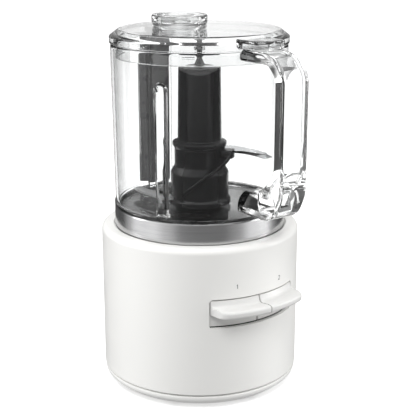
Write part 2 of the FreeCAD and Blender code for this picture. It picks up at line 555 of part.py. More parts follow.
# ================================================================ lid and cap
lid = revolve([
    (0, LID_TOP - 2.2), (57.6, LID_TOP - 2.2), (60.2, LID_TOP - 4.2), (60.2, SKIRT_BOTTOM, 0.4), (62.0, SKIRT_BOTTOM, 0.6), (62.2, LID_RIM_BOTTOM + 0.9, 0.6), (64.0, LID_RIM_BOTTOM), (LID_R, LID_RIM_BOTTOM, 0.5),
    (LID_R, LID_RIM_TOP, 0.8), (LID_FLAT_R + 0.6, LID_TOP, 1.6), (0, LID_TOP)])
lid = lid.cut(cyl(CAP_HOLE_R, 260, 275, CAP_X, CAP_Y))
lid = lid.fuse(tube(4.2, 2.35, 254.0, LID_TOP - 1.0))
# raised locating ring for the cap
lid = lid.fuse(tube(16.6, 15.2, LID_TOP - 0.5, LID_TOP + 1.8, CAP_X, CAP_Y))
# three locking lugs on the skirt
for a in (-42, 78, 198):
    arc = tube(62.7, 61.5, 255.2, 257.0)
    px, py = polar(62.0, a)
    b = box(-4.2, 4.2, -3, 3, 255.2, 257.0)
    b.rotate(V(0, 0, 0), V(0, 0, 1), a)
    b.translate(V(px, py, 0))
    lid = lid.fuse(arc.common(b))
# tab that lies over the handle's upper arm
tab = box(-13.0, 13.0, -83.5, -58.0, 262.5, 268.6)
tab = tab.makeFillet(3.0, [e for e in tab.Edges if abs(e.Vertexes[0].Point.x - e.Vertexes[1].Point.x) < 1e-6
                           and abs(e.Vertexes[0].Point.y - e.Vertexes[1].Point.y) < 1e-6 and e.Vertexes[0].Point.y < -70])
tab = tab.cut(box(-10.8, 10.8, -81.3, -66.4, 260.0, 266.2))
tab = tab.cut(cyl(60.4, 250, 275))
lid = lid.fuse(tab)
# rear tab that presses the interlock rod
rear = box(ROD_X - 7.0, ROD_X + 7.0, 57.0, 73.4, LID_RIM_BOTTOM, LID_RIM_TOP + 0.2)
rear = rear.makeFillet(2.0, [e for e in rear.Edges if abs(e.Vertexes[0].Point.x - e.Vertexes[1].Point.x) < 1e-6
                             and abs(e.Vertexes[0].Point.y - e.Vertexes[1].Point.y) < 1e-6 and e.Vertexes[0].Point.y > 70])
lid = lid.fuse(rear.cut(cyl(61.0, 250, 275)))
# notch for the interlock column
lid = lid.cut(box(COLUMN_X0 - 2.9, COLUMN_X1 + 2.9, 56.0, 64.6, 245.0, 259.85))
lid = lid.cut(box(COLUMN_X0 - 0.7, COLUMN_X1 + 0.7, 59.6, 64.6, 245.0, 264.3))
lid = lid.removeSplitter()

cap = revolve([
    (0, LID_TOP + 0.3 + 0.0), (14.7, LID_TOP + 0.3), (14.7, LID_TOP + 2.3), (17.1, LID_TOP + 2.3), (17.1, LID_TOP + 0.3), (CAP_R - 0.5, LID_TOP + 0.3, 0.6), (CAP_R, 276.0), (CAP_R, CAP_TOP, 1.2),
    (17.6, CAP_TOP, 1.2), (16.2, 274.4, 2.0), (0, 273.4)], CAP_X, CAP_Y)
cap = cap.fuse(tube(CAP_HOLE_R - 0.4, CAP_HOLE_R - 2.0, 262.6, LID_TOP + 0.6, CAP_X, CAP_Y))
cap = cap.cut(cyl(1.6, 260, 290, CAP_X - 3.0, CAP_Y + 1.5))
cap = cap.removeSplitter()

# ================================================================ blade rotor
hub = revolve([
    (CHIMNEY_RO + 1.0, 139.0), (23.6, 139.0), (23.6, 142.4, 0.8), (HUB_SKIRT_R, 144.0, 1.0), (HUB_SKIRT_R, 163.0, 1.5), (HUB_STEP_R, 168.0, 1.5), (HUB_STEP_R, 181.6), (20.4, 184.0, 0.6), (20.4, 186.2, 0.8),
    (HUB_TUBE_R0, 188.0, 0.6), (HUB_TUBE_R1, HUB_TOP), (HUB_TUBE_R1 - 2.6, HUB_TOP), (HUB_TUBE_R0 - 3.2, 182.5), (0, 182.5), (0, 165.5), (CHIMNEY_RO + 1.0, 165.5)])
hub = hub.cut(hexagon(HEX_AF + 2 * HEX_GAP, 160.0, 177.2))


def ramp_point(t):
    """t from 0 (upper blade) to 1 (lower blade): angle from front, height, outer radius."""
    ang = 33.0 - 100.0 * t - 10.0 * t * t
    z = 179.4 - 32.0 * (t ** 0.92) + 3.5 * math.sin(math.pi * t)
    r = 25.8 - 1.6 * t + 0.9 * math.sin(math.pi * t) * 0
    return ang, z, r


secs = []
NR = 30
for i in range(NR + 1):
    t = i / float(NR)
    a, z, r = ramp_point(t)
    h = 3.6
    pts = []
    for rr, zz in ((17.6, z - h), (r - 0.8, z - h), (r, z - h + 0.9), (r, z - 0.9), (r - 0.8, z), (17.6, z)):
        x, y = polar(rr, a)
        pts.append(V(x, y, zz))
    secs.append(pts)
ramp = skin(secs)
ear = prism_z([polar(17.0, 52), polar(26.6, 52) + (2.5,), polar(27.2, 28) + (2.5,), polar(17.0, 16)], 174.6, 180.8)
hub = hub.fuse(ramp).fuse(ear)
# lower blade boot, opposite the upper one
boot = prism_z([polar(17.0, 232), polar(26.6, 232) + (2.5,), polar(27.2, 208) + (2.5,), polar(17.0, 196)], 140.2, 147.0)
hub = hub.fuse(boot)
hub = hub.cut(cyl(CHIMNEY_RO + 1.0, 138.0, 165.5)).cut(hexagon(HEX_AF + 2 * HEX_GAP, 160.0, 177.2)).cut(revolve([(0, 182.5), (HUB_TUBE_R0 - 3.2, 182.5), (HUB_TUBE_R1 - 2.6, HUB_TOP + 1), (0, HUB_TOP + 1)]))


def blade(z0):
    """Sickle blade drawn for the upper position (tip at about 33 degrees right of front)."""
    cam = [(15.5, 3.0), (20.0, 13.0, 4.0), (27.0, 11.0, 8.0), (36.0, 3.2, 30.0), (44.0, -5.2, 40.0), (50.6, -15.4, 30.0), (53.0, -22.3, 1.5), (47.2, -29.4, 3.0), (40.6, -19.4, 14.0), (34.0, -12.8, 20.0), (24.0, -7.6, 6.0), (15.5, -8.0)]
    c, s = math.cos(math.radians(35.5)), math.sin(math.radians(35.5))
    pts = []
    for p in cam:
        q = (p[0] * c + p[1] * s, -p[0] * s + p[1] * c)
        pts.append(q + ((p[2],) if len(p) > 2 else ()))
    return prism_z(pts, z0, z0 + BLADE_T)


upper = blade(UPPER_BLADE_Z)
lower = blade(LOWER_BLADE_Z)
lower.rotate(V(0, 0, 0), V(0, 0, 1), 180)
upper = upper.cut(cyl(17.4, 170, 190))
lower = lower.cut(cyl(17.4, 130, 160))
# ground bevel on the leading edges
hub = hub.cut(upper).cut(lower).removeSplitter()
if len(hub.Solids) > 1:
    hub = sorted(hub.Solids, key=lambda s: -s.Volume)[0]
hub_cap = revolve([(0, 232.0), (HUB_TUBE_R1 - 2.9, 232.0), (HUB_TUBE_R1 - 2.72, HUB_TOP), (HUB_TUBE_R1 - 0.1, HUB_TOP), (HUB_TUBE_R1 - 0.1, HUB_TOP + 0.8, 0.6), (9.0, HUB_TOP + 2.6, 12.0), (3.6, HUB_TOP + 3.0, 1.5), (2.0, 249.0, 3.0), (2.0, 266.0, 0.8), (0, 266.0)])
hub_cap = hub_cap.cut(revolve([(3.0, 231.0), (HUB_TUBE_R1 - 4.6, 231.0), (HUB_TUBE_R1 - 4.6, 239.0), (3.0, 239.0)]))

# ================================================================ write the sub-parts
PARTS = {
    "base_housing": housing, "bottom_cover": bottom, "rubber_feet": feet, "bottom_screws": bottom_screws,
    "trim_ring": ring, "deck_plate": deck, "shaft_seal": seal, "upper_bearing": upper_bearing, "lower_bush": lower_bush,
    "gearbox_plate": plate, "gearbox_screws": plate_screws, "motor_can": motor_can, "motor_end_cap": motor_cap,
    "motor_magnets": magnets, "motor_screws": motor_screws, "armature": armature, "drive_pinion": pinion,
    "drive_gear": drive_gear, "drive_shaft": shaft, "drive_coupling": coupling,
    "control_board": board, "board_components": chips, "paddle_frame": frame, "paddle_pivot_pin": pivot_pin,
    "paddle_springs": paddle_springs, "paddle_switch_1": switches[0], "paddle_switch_2": switches[1], "lid_sensor": lid_sensor,
    "paddle_1": paddles[0], "paddle_2": paddles[1],
    "battery_bay": bay, "battery_contacts": contact_block, "battery_pack": pack, "battery_cells": cells, "battery_release": button,
    "bowl": bowl, "handle": handle, "interlock_column": column, "interlock_rod": rod, "interlock_magnet": rod_magnet, "interlock_spring": rod_spring,
    "lid": lid, "pouring_cap": cap,
    "blade_hub": hub, "hub_cap": hub_cap, "upper_blade": upper, "lower_blade": lower,
}
for name, shape in PARTS.items():
    save(name, shape)
print(len(PARTS), "sub-parts")
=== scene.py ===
import bpy, bmesh, json, math, random
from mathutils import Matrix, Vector

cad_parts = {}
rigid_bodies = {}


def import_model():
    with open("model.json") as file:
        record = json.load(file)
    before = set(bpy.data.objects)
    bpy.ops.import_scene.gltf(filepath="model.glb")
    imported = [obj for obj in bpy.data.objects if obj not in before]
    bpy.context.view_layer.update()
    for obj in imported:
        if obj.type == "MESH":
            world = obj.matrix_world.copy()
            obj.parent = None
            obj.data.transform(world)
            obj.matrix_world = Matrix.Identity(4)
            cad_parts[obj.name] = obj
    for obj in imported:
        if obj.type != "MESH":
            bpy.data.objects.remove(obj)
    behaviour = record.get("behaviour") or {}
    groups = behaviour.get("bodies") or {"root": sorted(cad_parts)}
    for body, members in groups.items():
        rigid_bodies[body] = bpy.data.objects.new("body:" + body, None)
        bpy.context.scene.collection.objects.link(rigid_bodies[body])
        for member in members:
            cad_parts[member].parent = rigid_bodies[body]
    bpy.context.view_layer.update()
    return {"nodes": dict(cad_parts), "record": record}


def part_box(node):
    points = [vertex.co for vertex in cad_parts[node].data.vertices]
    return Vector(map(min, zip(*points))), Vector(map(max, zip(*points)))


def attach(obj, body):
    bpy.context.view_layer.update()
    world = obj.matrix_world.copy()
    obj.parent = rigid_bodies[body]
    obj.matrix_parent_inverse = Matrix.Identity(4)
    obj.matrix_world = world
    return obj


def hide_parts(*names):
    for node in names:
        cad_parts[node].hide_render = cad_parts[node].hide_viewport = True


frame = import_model()
random.seed(7)
MM = 0.001
lo_b, hi_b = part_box("trim_ring")
AX_X, AX_Y = 0.0, (lo_b.y + hi_b.y) / 2.0      # spindle axis
COL = bpy.context.scene.collection


# =============================================================== geometry helpers
def arc_pts(s, m, e, c, n):
    a0 = math.atan2(s[1] - c[1], s[0] - c[0])
    a1 = math.atan2(e[1] - c[1], e[0] - c[0])
    d = a1 - a0
    while d > math.pi:
        d -= 2 * math.pi
    while d < -math.pi:
        d += 2 * math.pi
    R = math.hypot(s[0] - c[0], s[1] - c[1])
    return [(c[0] + R * math.cos(a0 + d * i / n), c[1] + R * math.sin(a0 + d * i / n)) for i in range(n + 1)]


def rnd(points, n=7, support=0.35, closed=True, edge=0.15):
    """Outline with rounded corners. (a, b, R) rounds a corner; R missing gives a small edge radius."""
    out = []
    N = len(points)
    for i, p in enumerate(points):
        R = p[2] if len(p) > 2 else edge
        if (not closed and i in (0, N - 1)) or R <= 0 or (abs(p[0]) < 1e-9):
            out.append([(p[0], p[1])])
            continue
        a, b = points[i - 1], points[(i + 1) % N]
        ux, uy = a[0] - p[0], a[1] - p[1]
        vx, vy = b[0] - p[0], b[1] - p[1]
        lu, lv = math.hypot(ux, uy), math.hypot(vx, vy)
        if lu < 1e-6 or lv < 1e-6:
            out.append([(p[0], p[1])])
            continue
        ux, uy, vx, vy = ux / lu, uy / lu, vx / lv, vy / lv
        ca = max(-1, min(1, ux * vx + uy * vy))
        half = math.acos(ca) / 2
        if half > math.pi / 2 - 0.02 or half < 0.02:
            out.append([(p[0], p[1])])
            continue
        t = R / math.tan(half)
        lim = 0.48 * min(lu, lv)
        if t > lim:
            t = lim
            R = t * math.tan(half)
        s = (p[0] + ux * t, p[1] + uy * t)
        e = (p[0] + vx * t, p[1] + vy * t)
        bx, by = ux + vx, uy + vy
        lb = math.hypot(bx, by)
        c = (p[0] + bx / lb * R / math.sin(half), p[1] + by / lb * R / math.sin(half))
        k = 2 if R <= 0.2 else (4 if R < 0.8 else n)
        out.append(arc_pts(s, None, e, c, k))
    res = []
    M = len(out)
    for i in range(M):
        res += out[i]
        if closed or i < M - 1:
            a, b = out[i][-1], out[(i + 1) % M][0]
            L = math.hypot(b[0] - a[0], b[1] - a[1])
            if L > 2.6 * support:
                f = support / L
                res.append((a[0] + (b[0] - a[0]) * f, a[1] + (b[1] - a[1]) * f))
                res.append((b[0] - (b[0] - a[0]) * f, b[1] - (b[1] - a[1]) * f))
    clean = []
    for q in res:
        if not clean or math.hypot(q[0] - clean[-1][0], q[1] - clean[-1][1]) > 1e-5:
            clean.append(q)
    if closed and math.hypot(clean[0][0] - clean[-1][0], clean[0][1] - clean[-1][1]) < 1e-5:
        clean.pop()
    return clean


def rnd_fixed(points, n=6):
    """Closed rounded outline that always returns the same number of points."""
    out = []
    N = len(points)
    for i, p in enumerate(points):
        R = max(0.02, p[2] if len(p) > 2 else 0.15)
        a, b = points[i - 1], points[(i + 1) % N]
        ux, uy = a[0] - p[0], a[1] - p[1]
        vx, vy = b[0] - p[0], b[1] - p[1]
        lu, lv = math.hypot(ux, uy), math.hypot(vx, vy)
        ux, uy, vx, vy = ux / lu, uy / lu, vx / lv, vy / lv
        half = math.acos(max(-0.9999, min(0.9999, ux * vx + uy * vy))) / 2
        t = R / math.tan(half)
        lim = 0.46 * min(lu, lv)
        if t > lim:
            t = lim
            R = t * math.tan(half)
        s = (p[0] + ux * t, p[1] + uy * t)
        e = (p[0] + vx * t, p[1] + vy * t)
        bx, by = ux + vx, uy + vy
        lb = math.hypot(bx, by)
        c = (p[0] + bx / lb * R / math.sin(half), p[1] + by / lb * R / math.sin(half))
        out += arc_pts(s, None, e, c, n)
    return out


def obj_from(name, verts, faces, sharp=32, smooth=True):
    me = bpy.data.meshes.new(name)
    me.from_pydata([(v[0] * MM + AX_X, v[1] * MM + AX_Y, v[2] * MM) for v in verts], [], faces)
    me.update()
    bm = bmesh.new()
    bm.from_mesh(me)
    bmesh.ops.remove_doubles(bm, verts=bm.verts, dist=1e-7)
    bmesh.ops.dissolve_degenerate(bm, edges=bm.edges, dist=1e-8)
    bmesh.ops.recalc_face_normals(bm, faces=bm.faces)
    bm.to_mesh(me)
    bm.free()
    if smooth:
        me.shade_smooth()
        me.set_sharp_from_angle(angle=math.radians(sharp))
    o = bpy.data.objects.new(name, me)
    COL.objects.link(o)
    return o


def lathe_data(profile, segs=192, cx=0.0, cy=0.0, disp=None, closed=True, thetas=None):
    if thetas is None:
        thetas = [2 * math.pi * i / segs for i in range(segs)]
    segs = len(thetas)
    verts, idx = [], []
    for j, (r, z) in enumerate(profile):
        if r < 1e-6:
            verts.append((cx, cy, z))
            idx.append([len(verts) - 1] * segs)
        else:
            row = []
            for th in thetas:
                rr, zz = (r, z) if disp is None else disp(r, z, th, j)
                verts.append((cx + rr * math.cos(th), cy + rr * math.sin(th), zz))
                row.append(len(verts) - 1)
            idx.append(row)
    faces = []
    M = len(profile)
    for j in range(M if closed else M - 1):
        a, b = idx[j], idx[(j + 1) % M]
        pa, pb = a[0] == a[-1], b[0] == b[-1]
        if pa and pb:
            continue
        for i in range(segs):
            k = (i + 1) % segs
            if pa:
                faces.append((a[0], b[k], b[i]))
            elif pb:
                faces.append((a[i], a[k], b[0]))
            else:
                faces.append((a[i], a[k], b[k], b[i]))
    return verts, faces


def lathe(name, profile, segs=192, cx=0.0, cy=0.0, disp=None, closed=True, sharp=32, thetas=None):
    v, f = lathe_data(profile, segs, cx, cy, disp, closed, thetas)
    return obj_from(name, v, f, sharp)


def loft(name, sections, cap=True, sharp=32, loop=False):
    """Quads between matching closed sections."""
    verts, faces = [], []
    n = len(sections[0])
    for s in sections:
        verts += s
    m = len(sections)
    for j in range(m if loop else m - 1):
        j2 = (j + 1) % m
        for i in range(n):
            k = (i + 1) % n
            faces.append((j * n + i, j * n + k, j2 * n + k, j2 * n + i))
    if cap and not loop:
        faces.append(tuple(range(n)))
        faces.append(tuple((m - 1) * n + i for i in range(n)))
    return obj_from(name, verts, faces, sharp)


def curve_plate(name, outlines, x0, x1, bev, plane="yz", res=6, sharp=32):
    """Plate with rounded edges from 2-D outlines (first is outside, the rest are holes)."""
    cu = bpy.data.curves.new(name + "_cu", "CURVE")
    cu.dimensions = "2D"
    cu.fill_mode = "BOTH"
    for pts in outlines:
        sp = cu.splines.new("POLY")
        sp.points.add(len(pts) - 1)
        for q, p in zip(sp.points, pts):
            q.co = (p[0] * MM, p[1] * MM, 0, 1)
        sp.use_cyclic_u = True
    cu.extrude = (abs(x1 - x0) / 2 - bev) * MM
    cu.bevel_depth = bev * MM
    cu.offset = -bev * MM
    cu.bevel_resolution = res
    tmp = bpy.data.objects.new(name + "_tmp", cu)
    COL.objects.link(tmp)
    bpy.context.view_layer.update()
    dg = bpy.context.evaluated_depsgraph_get()
    me = bpy.data.meshes.new_from_object(tmp.evaluated_get(dg))
    bpy.data.objects.remove(tmp)
    bpy.data.curves.remove(cu)
    mid = (x0 + x1) / 2 * MM
    for v in me.vertices:
        a, b, c = v.co
        if plane == "yz":
            v.co = (c + mid + AX_X, a + AX_Y, b)
        else:
            v.co = (a + AX_X, b + AX_Y, c + mid)
    bm = bmesh.new()
    bm.from_mesh(me)
    bmesh.ops.remove_doubles(bm, verts=bm.verts, dist=2e-6)
    bmesh.ops.dissolve_degenerate(bm, edges=bm.edges, dist=1e-7)
    bmesh.ops.recalc_face_normals(bm, faces=bm.faces)
    bm.to_mesh(me)
    bm.free()
    me.name = name
    me.shade_smooth()
    me.set_sharp_from_angle(angle=math.radians(sharp))
    o = bpy.data.objects.new(name, me)
    COL.objects.link(o)
    return o


def apply_mods(o):
    bpy.context.view_layer.update()
    dg = bpy.context.evaluated_depsgraph_get()
    me = bpy.data.meshes.new_from_object(o.evaluated_get(dg))
    old = o.data
    o.modifiers.clear()
    o.data = me
    me.name = o.name
    bpy.data.meshes.remove(old)


def boolean(o, cutter, op="DIFFERENCE", keep=False, sharp=32, solver="EXACT"):
    m = o.modifiers.new("b", "BOOLEAN")
    m.operation = op
    m.object = cutter
    m.solver = solver
    apply_mods(o)
    if not keep:
        bpy.data.objects.remove(cutter)
    bm = bmesh.new()
    bm.from_mesh(o.data)
    bmesh.ops.remove_doubles(bm, verts=bm.verts, dist=5e-7)
    bmesh.ops.dissolve_degenerate(bm, edges=bm.edges, dist=5e-7)
    bm.to_mesh(o.data)
    bm.free()
    o.data.shade_smooth()
    o.data.set_sharp_from_angle(angle=math.radians(sharp))


def rounded_rect(x0, x1, z0, z1, r, n=6):
    pts = []
    for cx, cz, a0 in ((x1 - r, z1 - r, 0), (x0 + r, z1 - r, 90), (x0 + r, z0 + r, 180), (x1 - r, z0 + r, 270)):
        for i in range(n + 1):
            a = math.radians(a0 + 90 * i / n)
            pts.append((cx + r * math.cos(a), cz + r * math.sin(a)))
    return pts


def prism(name, outline, axis, a0, a1):
    """Straight prism of a 2-D outline along an axis ('x', 'y' or 'z')."""
    def mk(p, t):
        return {"x": (t, p[0], p[1]), "y": (p[0], t, p[1]), "z": (p[0], p[1], t)}[axis]
    return loft(name, [[mk(p, a0) for p in outline], [mk(p, a1) for p in outline]])


def polar(r, a):
    a = math.radians(a)
    return (r * math.sin(a), -r * math.cos(a))


def join(name, objs):
    base = objs[0]
    bm = bmesh.new()
    for o in objs:
        bm.from_mesh(o.data)
    me = bpy.data.meshes.new(name)
    bm.to_mesh(me)
    bm.free()
    me.shade_smooth()
    me.set_sharp_from_angle(angle=math.radians(32))
    for o in objs:
        bpy.data.objects.remove(o)
    o = bpy.data.objects.new(name, me)
    COL.objects.link(o)
    return o


# =============================================================== materials
def new_mat(name):
    m = bpy.data.materials.new(name)
    m.use_nodes = True
    nt = m.node_tree
    nt.nodes.clear()
    out = nt.nodes.new("ShaderNodeOutputMaterial")
    bs = nt.nodes.new("ShaderNodeBsdfPrincipled")
    nt.links.new(bs.outputs[0], out.inputs[0])
    tc = nt.nodes.new("ShaderNodeTexCoord")
    return m, nt, bs, tc


def mapped(nt, tc, scale):
    mp = nt.nodes.new("ShaderNodeMapping")
    mp.inputs["Scale"].default_value = scale
    nt.links.new(tc.outputs["Object"], mp.inputs["Vector"])
    return mp.outputs["Vector"]


def noise(nt, vec, scale, detail=3, rough=0.55):
    n = nt.nodes.new("ShaderNodeTexNoise")
    n.inputs["Scale"].default_value = scale
    n.inputs["Detail"].default_value = detail
    n.inputs["Roughness"].default_value = rough
    nt.links.new(vec, n.inputs["Vector"])
    return n.outputs["Fac"]


def ramp(nt, fac, stops):
    r = nt.nodes.new("ShaderNodeValToRGB")
    el = r.color_ramp.elements
    el[0].position, el[0].color = stops[0][0], (*stops[0][1], 1)
    el[1].position, el[1].color = stops[-1][0], (*stops[-1][1], 1)
    for p, c in stops[1:-1]:
        e = el.new(p)
        e.color = (*c, 1)
    nt.links.new(fac, r.inputs["Fac"])
    return r.outputs["Color"]


def rng(nt, fac, a, b):
    m = nt.nodes.new("ShaderNodeMapRange")
    m.inputs["From Min"].default_value = 0.3
    m.inputs["From Max"].default_value = 0.7
    m.inputs["To Min"].default_value = a
    m.inputs["To Max"].default_value = b
    nt.links.new(fac, m.inputs["Value"])
    return m.outputs["Result"]


def bump(nt, fac, strength, dist, prev=None):
    b = nt.nodes.new("ShaderNodeBump")
    b.inputs["Strength"].default_value = strength
    b.inputs["Distance"].default_value = dist
    nt.links.new(fac, b.inputs["Height"])
    if prev is not None:
        nt.links.new(prev, b.inputs["Normal"])
    return b.outputs["Normal"]


def plastic(name, col, rough=0.38, grain=1800, gs=0.12, gd=0.00003, var=0.03, spec=0.5, coat=0.0, sss=0.0, rv=0.05):
    m, nt, bs, tc = new_mat(name)
    v = mapped(nt, tc, (1, 1, 1))
    f = noise(nt, v, 14, 4)
    c0 = tuple(max(0, x * (1 - var)) for x in col)
    c1 = tuple(min(1, x * (1 + var)) for x in col)
    nt.links.new(ramp(nt, f, [(0.3, c0), (0.5, col), (0.7, c1)]), bs.inputs["Base Color"])
    nt.links.new(rng(nt, noise(nt, v, 55, 3), rough - rv, rough + rv), bs.inputs["Roughness"])
    nt.links.new(bump(nt, noise(nt, v, grain, 2), gs, gd), bs.inputs["Normal"])
    bs.inputs["Specular IOR Level"].default_value = spec
    bs.inputs["Coat Weight"].default_value = coat
    if sss:
        bs.inputs["Subsurface Weight"].default_value = sss
        bs.inputs["Subsurface Radius"].default_value = (0.002, 0.002, 0.002)
    return m


def clear(name, tint=(0.985, 0.99, 0.99), ior=1.5, wave=26, ws=0.12, wd=0.00025, rough=0.0):
    m, nt, bs, tc = new_mat(name)
    v = mapped(nt, tc, (1, 1, 1))
    f = noise(nt, v, 9, 2)
    c0 = tuple(x * 0.995 for x in tint)
    nt.links.new(ramp(nt, f, [(0.35, c0), (0.65, tint)]), bs.inputs["Base Color"])
    nt.links.new(rng(nt, noise(nt, v, 120, 3), rough, rough + 0.025), bs.inputs["Roughness"])
    nt.links.new(bump(nt, noise(nt, v, wave, 2, 0.4), ws, wd), bs.inputs["Normal"])
    bs.inputs["Transmission Weight"].default_value = 1.0
    bs.inputs["IOR"].default_value = ior
    return m


def metal(name, col, rough=0.28, streak=(30, 30, 4200), ss=0.25, sd=0.00002, aniso=0.0, var=0.12, rv=0.06):
    m, nt, bs, tc = new_mat(name)
    v = mapped(nt, tc, streak)
    f = noise(nt, v, 1.0, 3, 0.6)
    c0 = tuple(x * (1 - var) for x in col)
    c1 = tuple(min(1, x * (1 + var)) for x in col)
    nt.links.new(ramp(nt, f, [(0.3, c0), (0.7, c1)]), bs.inputs["Base Color"])
    nt.links.new(rng(nt, f, rough - rv, rough + rv), bs.inputs["Roughness"])
    nt.links.new(bump(nt, f, ss, sd), bs.inputs["Normal"])
    bs.inputs["Metallic"].default_value = 1.0
    bs.inputs["Anisotropic"].default_value = aniso
    return m


M = {}
M["white_body"] = plastic("white_satin", (0.865, 0.862, 0.842), 0.36, 1500, 0.10, 0.00003, 0.012, 0.5, sss=0.04)
M["white_cover"] = plastic("white_cover", (0.85, 0.848, 0.83), 0.40, 1500, 0.10, 0.00003, 0.012, 0.5)
# paddle white: a darker copy of the body's white plastic, painted shade that tones down the brightly lit paddle
# shelves
M["white_paddle"] = plastic("white_paddle", (0.70, 0.698, 0.685), 0.36, 1800, 0.06, 0.00003, 0.010, 0.5, sss=0.04)
M["white_battery"] = plastic("white_battery", (0.855, 0.852, 0.833), 0.38, 1500, 0.10, 0.00003, 0.012)
M["foot_rubber"] = plastic("foot_rubber", (0.035, 0.035, 0.037), 0.75, 900, 0.3, 0.00006, 0.10)
M["screw_steel"] = metal("screw_steel", (0.60, 0.60, 0.62), 0.30, (600, 600, 600), 0.2)
M["ring_metal"] = metal("ring_brushed", (0.53, 0.53, 0.535), 0.20, (22, 22, 5200), 0.22, 0.00002, 0.0, 0.10, 0.04)
M["dark_deck"] = plastic("dark_deck", (0.012, 0.012, 0.013), 0.26, 1500, 0.06, 0.00002, 0.12)
M["seal_rubber"] = plastic("seal_rubber", (0.02, 0.02, 0.02), 0.6, 1200, 0.2, 0.00004, 0.1)
M["bearing_steel"] = metal("bearing_steel", (0.66, 0.67, 0.69), 0.18, (300, 300, 3000), 0.1)
M["bush_bronze"] = metal("bush_bronze", (0.66, 0.46, 0.22), 0.38, (900, 900, 900), 0.3)
M["plate_metal"] = metal("plate_cast", (0.60, 0.61, 0.62), 0.45, (700, 700, 700), 0.35, 0.00005)
M["motor_steel"] = metal("motor_plated", (0.58, 0.59, 0.60), 0.30, (40, 40, 1800), 0.2)
M["black_plastic"] = plastic("black_moulded", (0.03, 0.03, 0.032), 0.45, 1200, 0.2, 0.00004, 0.12)
M["dark_plastic"] = plastic("dark_moulded", (0.06, 0.06, 0.063), 0.42, 1200, 0.2, 0.00004, 0.12)
M["magnet_dark"] = plastic("ferrite", (0.05, 0.05, 0.055), 0.5, 1400, 0.4, 0.00005, 0.2)
M["armature_steel"] = metal("armature", (0.42, 0.26, 0.16), 0.4, (200, 200, 2500), 0.5, 0.00006)
M["gear_plastic"] = plastic("acetal", (0.80, 0.78, 0.70), 0.35, 1500, 0.1, 0.00003, 0.04)
M["board_green"] = plastic("board_mask", (0.02, 0.12, 0.05), 0.28, 500, 0.3, 0.00005, 0.25)
M["spring_steel"] = metal("spring_wire", (0.5, 0.5, 0.52), 0.25, (1500, 1500, 400), 0.15)
M["cell_wrap"] = plastic("cell_wrap", (0.06, 0.18, 0.34), 0.30, 800, 0.05, 0.00003, 0.06)
M["grey_button"] = plastic("grey_button", (0.22, 0.22, 0.225), 0.45, 1200, 0.2, 0.00004, 0.06)
M["clear_bowl"] = clear("clear_bowl", ws=0.10)
M["clear_handle"] = clear("clear_handle", ws=0.08)
M["clear_lid"] = clear("clear_lid", (0.955, 0.96, 0.96), ws=0.08)
M["clear_cap"] = clear("clear_cap", (0.95, 0.955, 0.955), ws=0.08)
M["column_grey"] = plastic("column_grey", (0.050, 0.050, 0.052), 0.30, 1400, 0.06, 0.00002, 0.08)
M["hub_black"] = plastic("hub_black", (0.014, 0.014, 0.015), 0.22, 700, 0.02, 0.00001, 0.10, spec=0.45, rv=0.02)
M["blade_steel"] = metal("blade_ground", (0.74, 0.75, 0.76), 0.20, (900, 220, 900), 0.12, 0.00002, 0.3, 0.06)
# lower blade steel: a rougher satin finish, with a raised base colour that is painted light to make the lower blade
# read brighter than the upper one
M["blade_satin_painted_light"] = metal("blade_satin_painted_light", (0.93, 0.93, 0.93), 0.50, (900, 220, 900), 0.06, 0.00001, 0.0, 0.03)
M["print_grey"] = plastic("print_grey", (0.14, 0.14, 0.145), 0.5, 1500, 0.1, 0.00002, 0.05)


def put(o, slot, body, *nodes, mat=None):
    o.data.materials.clear()
    o.data.materials.append(M[mat or slot])
    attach(o, body)
    if nodes:
        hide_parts(*nodes)
    return o


slot_of = {s["node"]: s["material_slot"] for s in frame["record"]["subparts"]}
for n, o in frame["nodes"].items():
    o.data.materials.clear()
    o.data.materials.append(M[slot_of[n]])

# =============================================================== dimensions shared with the frame, mm from the spindle axis
R_BASE, SEAM, DECK = 75.0, 11.0, 124.0
RING_R, RING_TOP = 64.8, 139.0
PX = 36.45

# ---- base housing
prof = rnd([(72.0, 11.5), (73.35, 11.5), (73.35, 11.8), (75.0, 12.3, 0.6), (75.0, 124.0, 7.5), (65.8, 124.0, 0.25), (65.8, 122.4), (62.2, 122.4), (62.2, 124.0), (13.0, 124.0), (13.0, 117.0), (17.0, 117.0),
            (17.0, 121.0), (72.0, 121.0, 4.7)], n=10)
housing = lathe("base_shell", prof, 256)
cut = prism("c1", rounded_rect(-37.5, 37.5, 64.3, 86.3, 2.6, 8), "y", -90, -40)
boolean(housing, cut)
cut = prism("c2", rounded_rect(-35.0, 35.0, 17.2, 46.8, 3.0, 8), "y", 20, 90)
boolean(housing, cut)
put(housing, "white_body", "base", "base_housing")

# ---- trim ring and deck
ring = lathe("trim_ring_brushed", rnd([(62.9, 123.5), (64.8, 123.5), (64.8, 124.6), (64.55, 138.2, 0.2), (64.15, 139.0, 0.35), (63.2, 139.0, 0.4), (62.9, 138.0)], n=6), 256)
put(ring, "ring_metal", "base", "trim_ring")
deck = lathe("deck_disc", rnd([(9.6, 124.1), (62.4, 124.1), (62.4, 134.6, 0.9), (58.0, 134.6, 0.5), (57.2, 134.0, 0.4), (40.5, 134.0, 0.5), (38.6, 133.3, 0.6), (18.0, 133.3, 1.0), (16.0, 134.6, 0.6), (9.9, 134.6, 1.0),
                                      (9.9, 146.0, 0.8), (8.05, 146.0), (8.05, 141.5), (5.6, 141.5), (5.6, 130.0), (9.6, 130.0)], n=6), 192)
put(deck, "dark_deck", "base", "deck_plate")


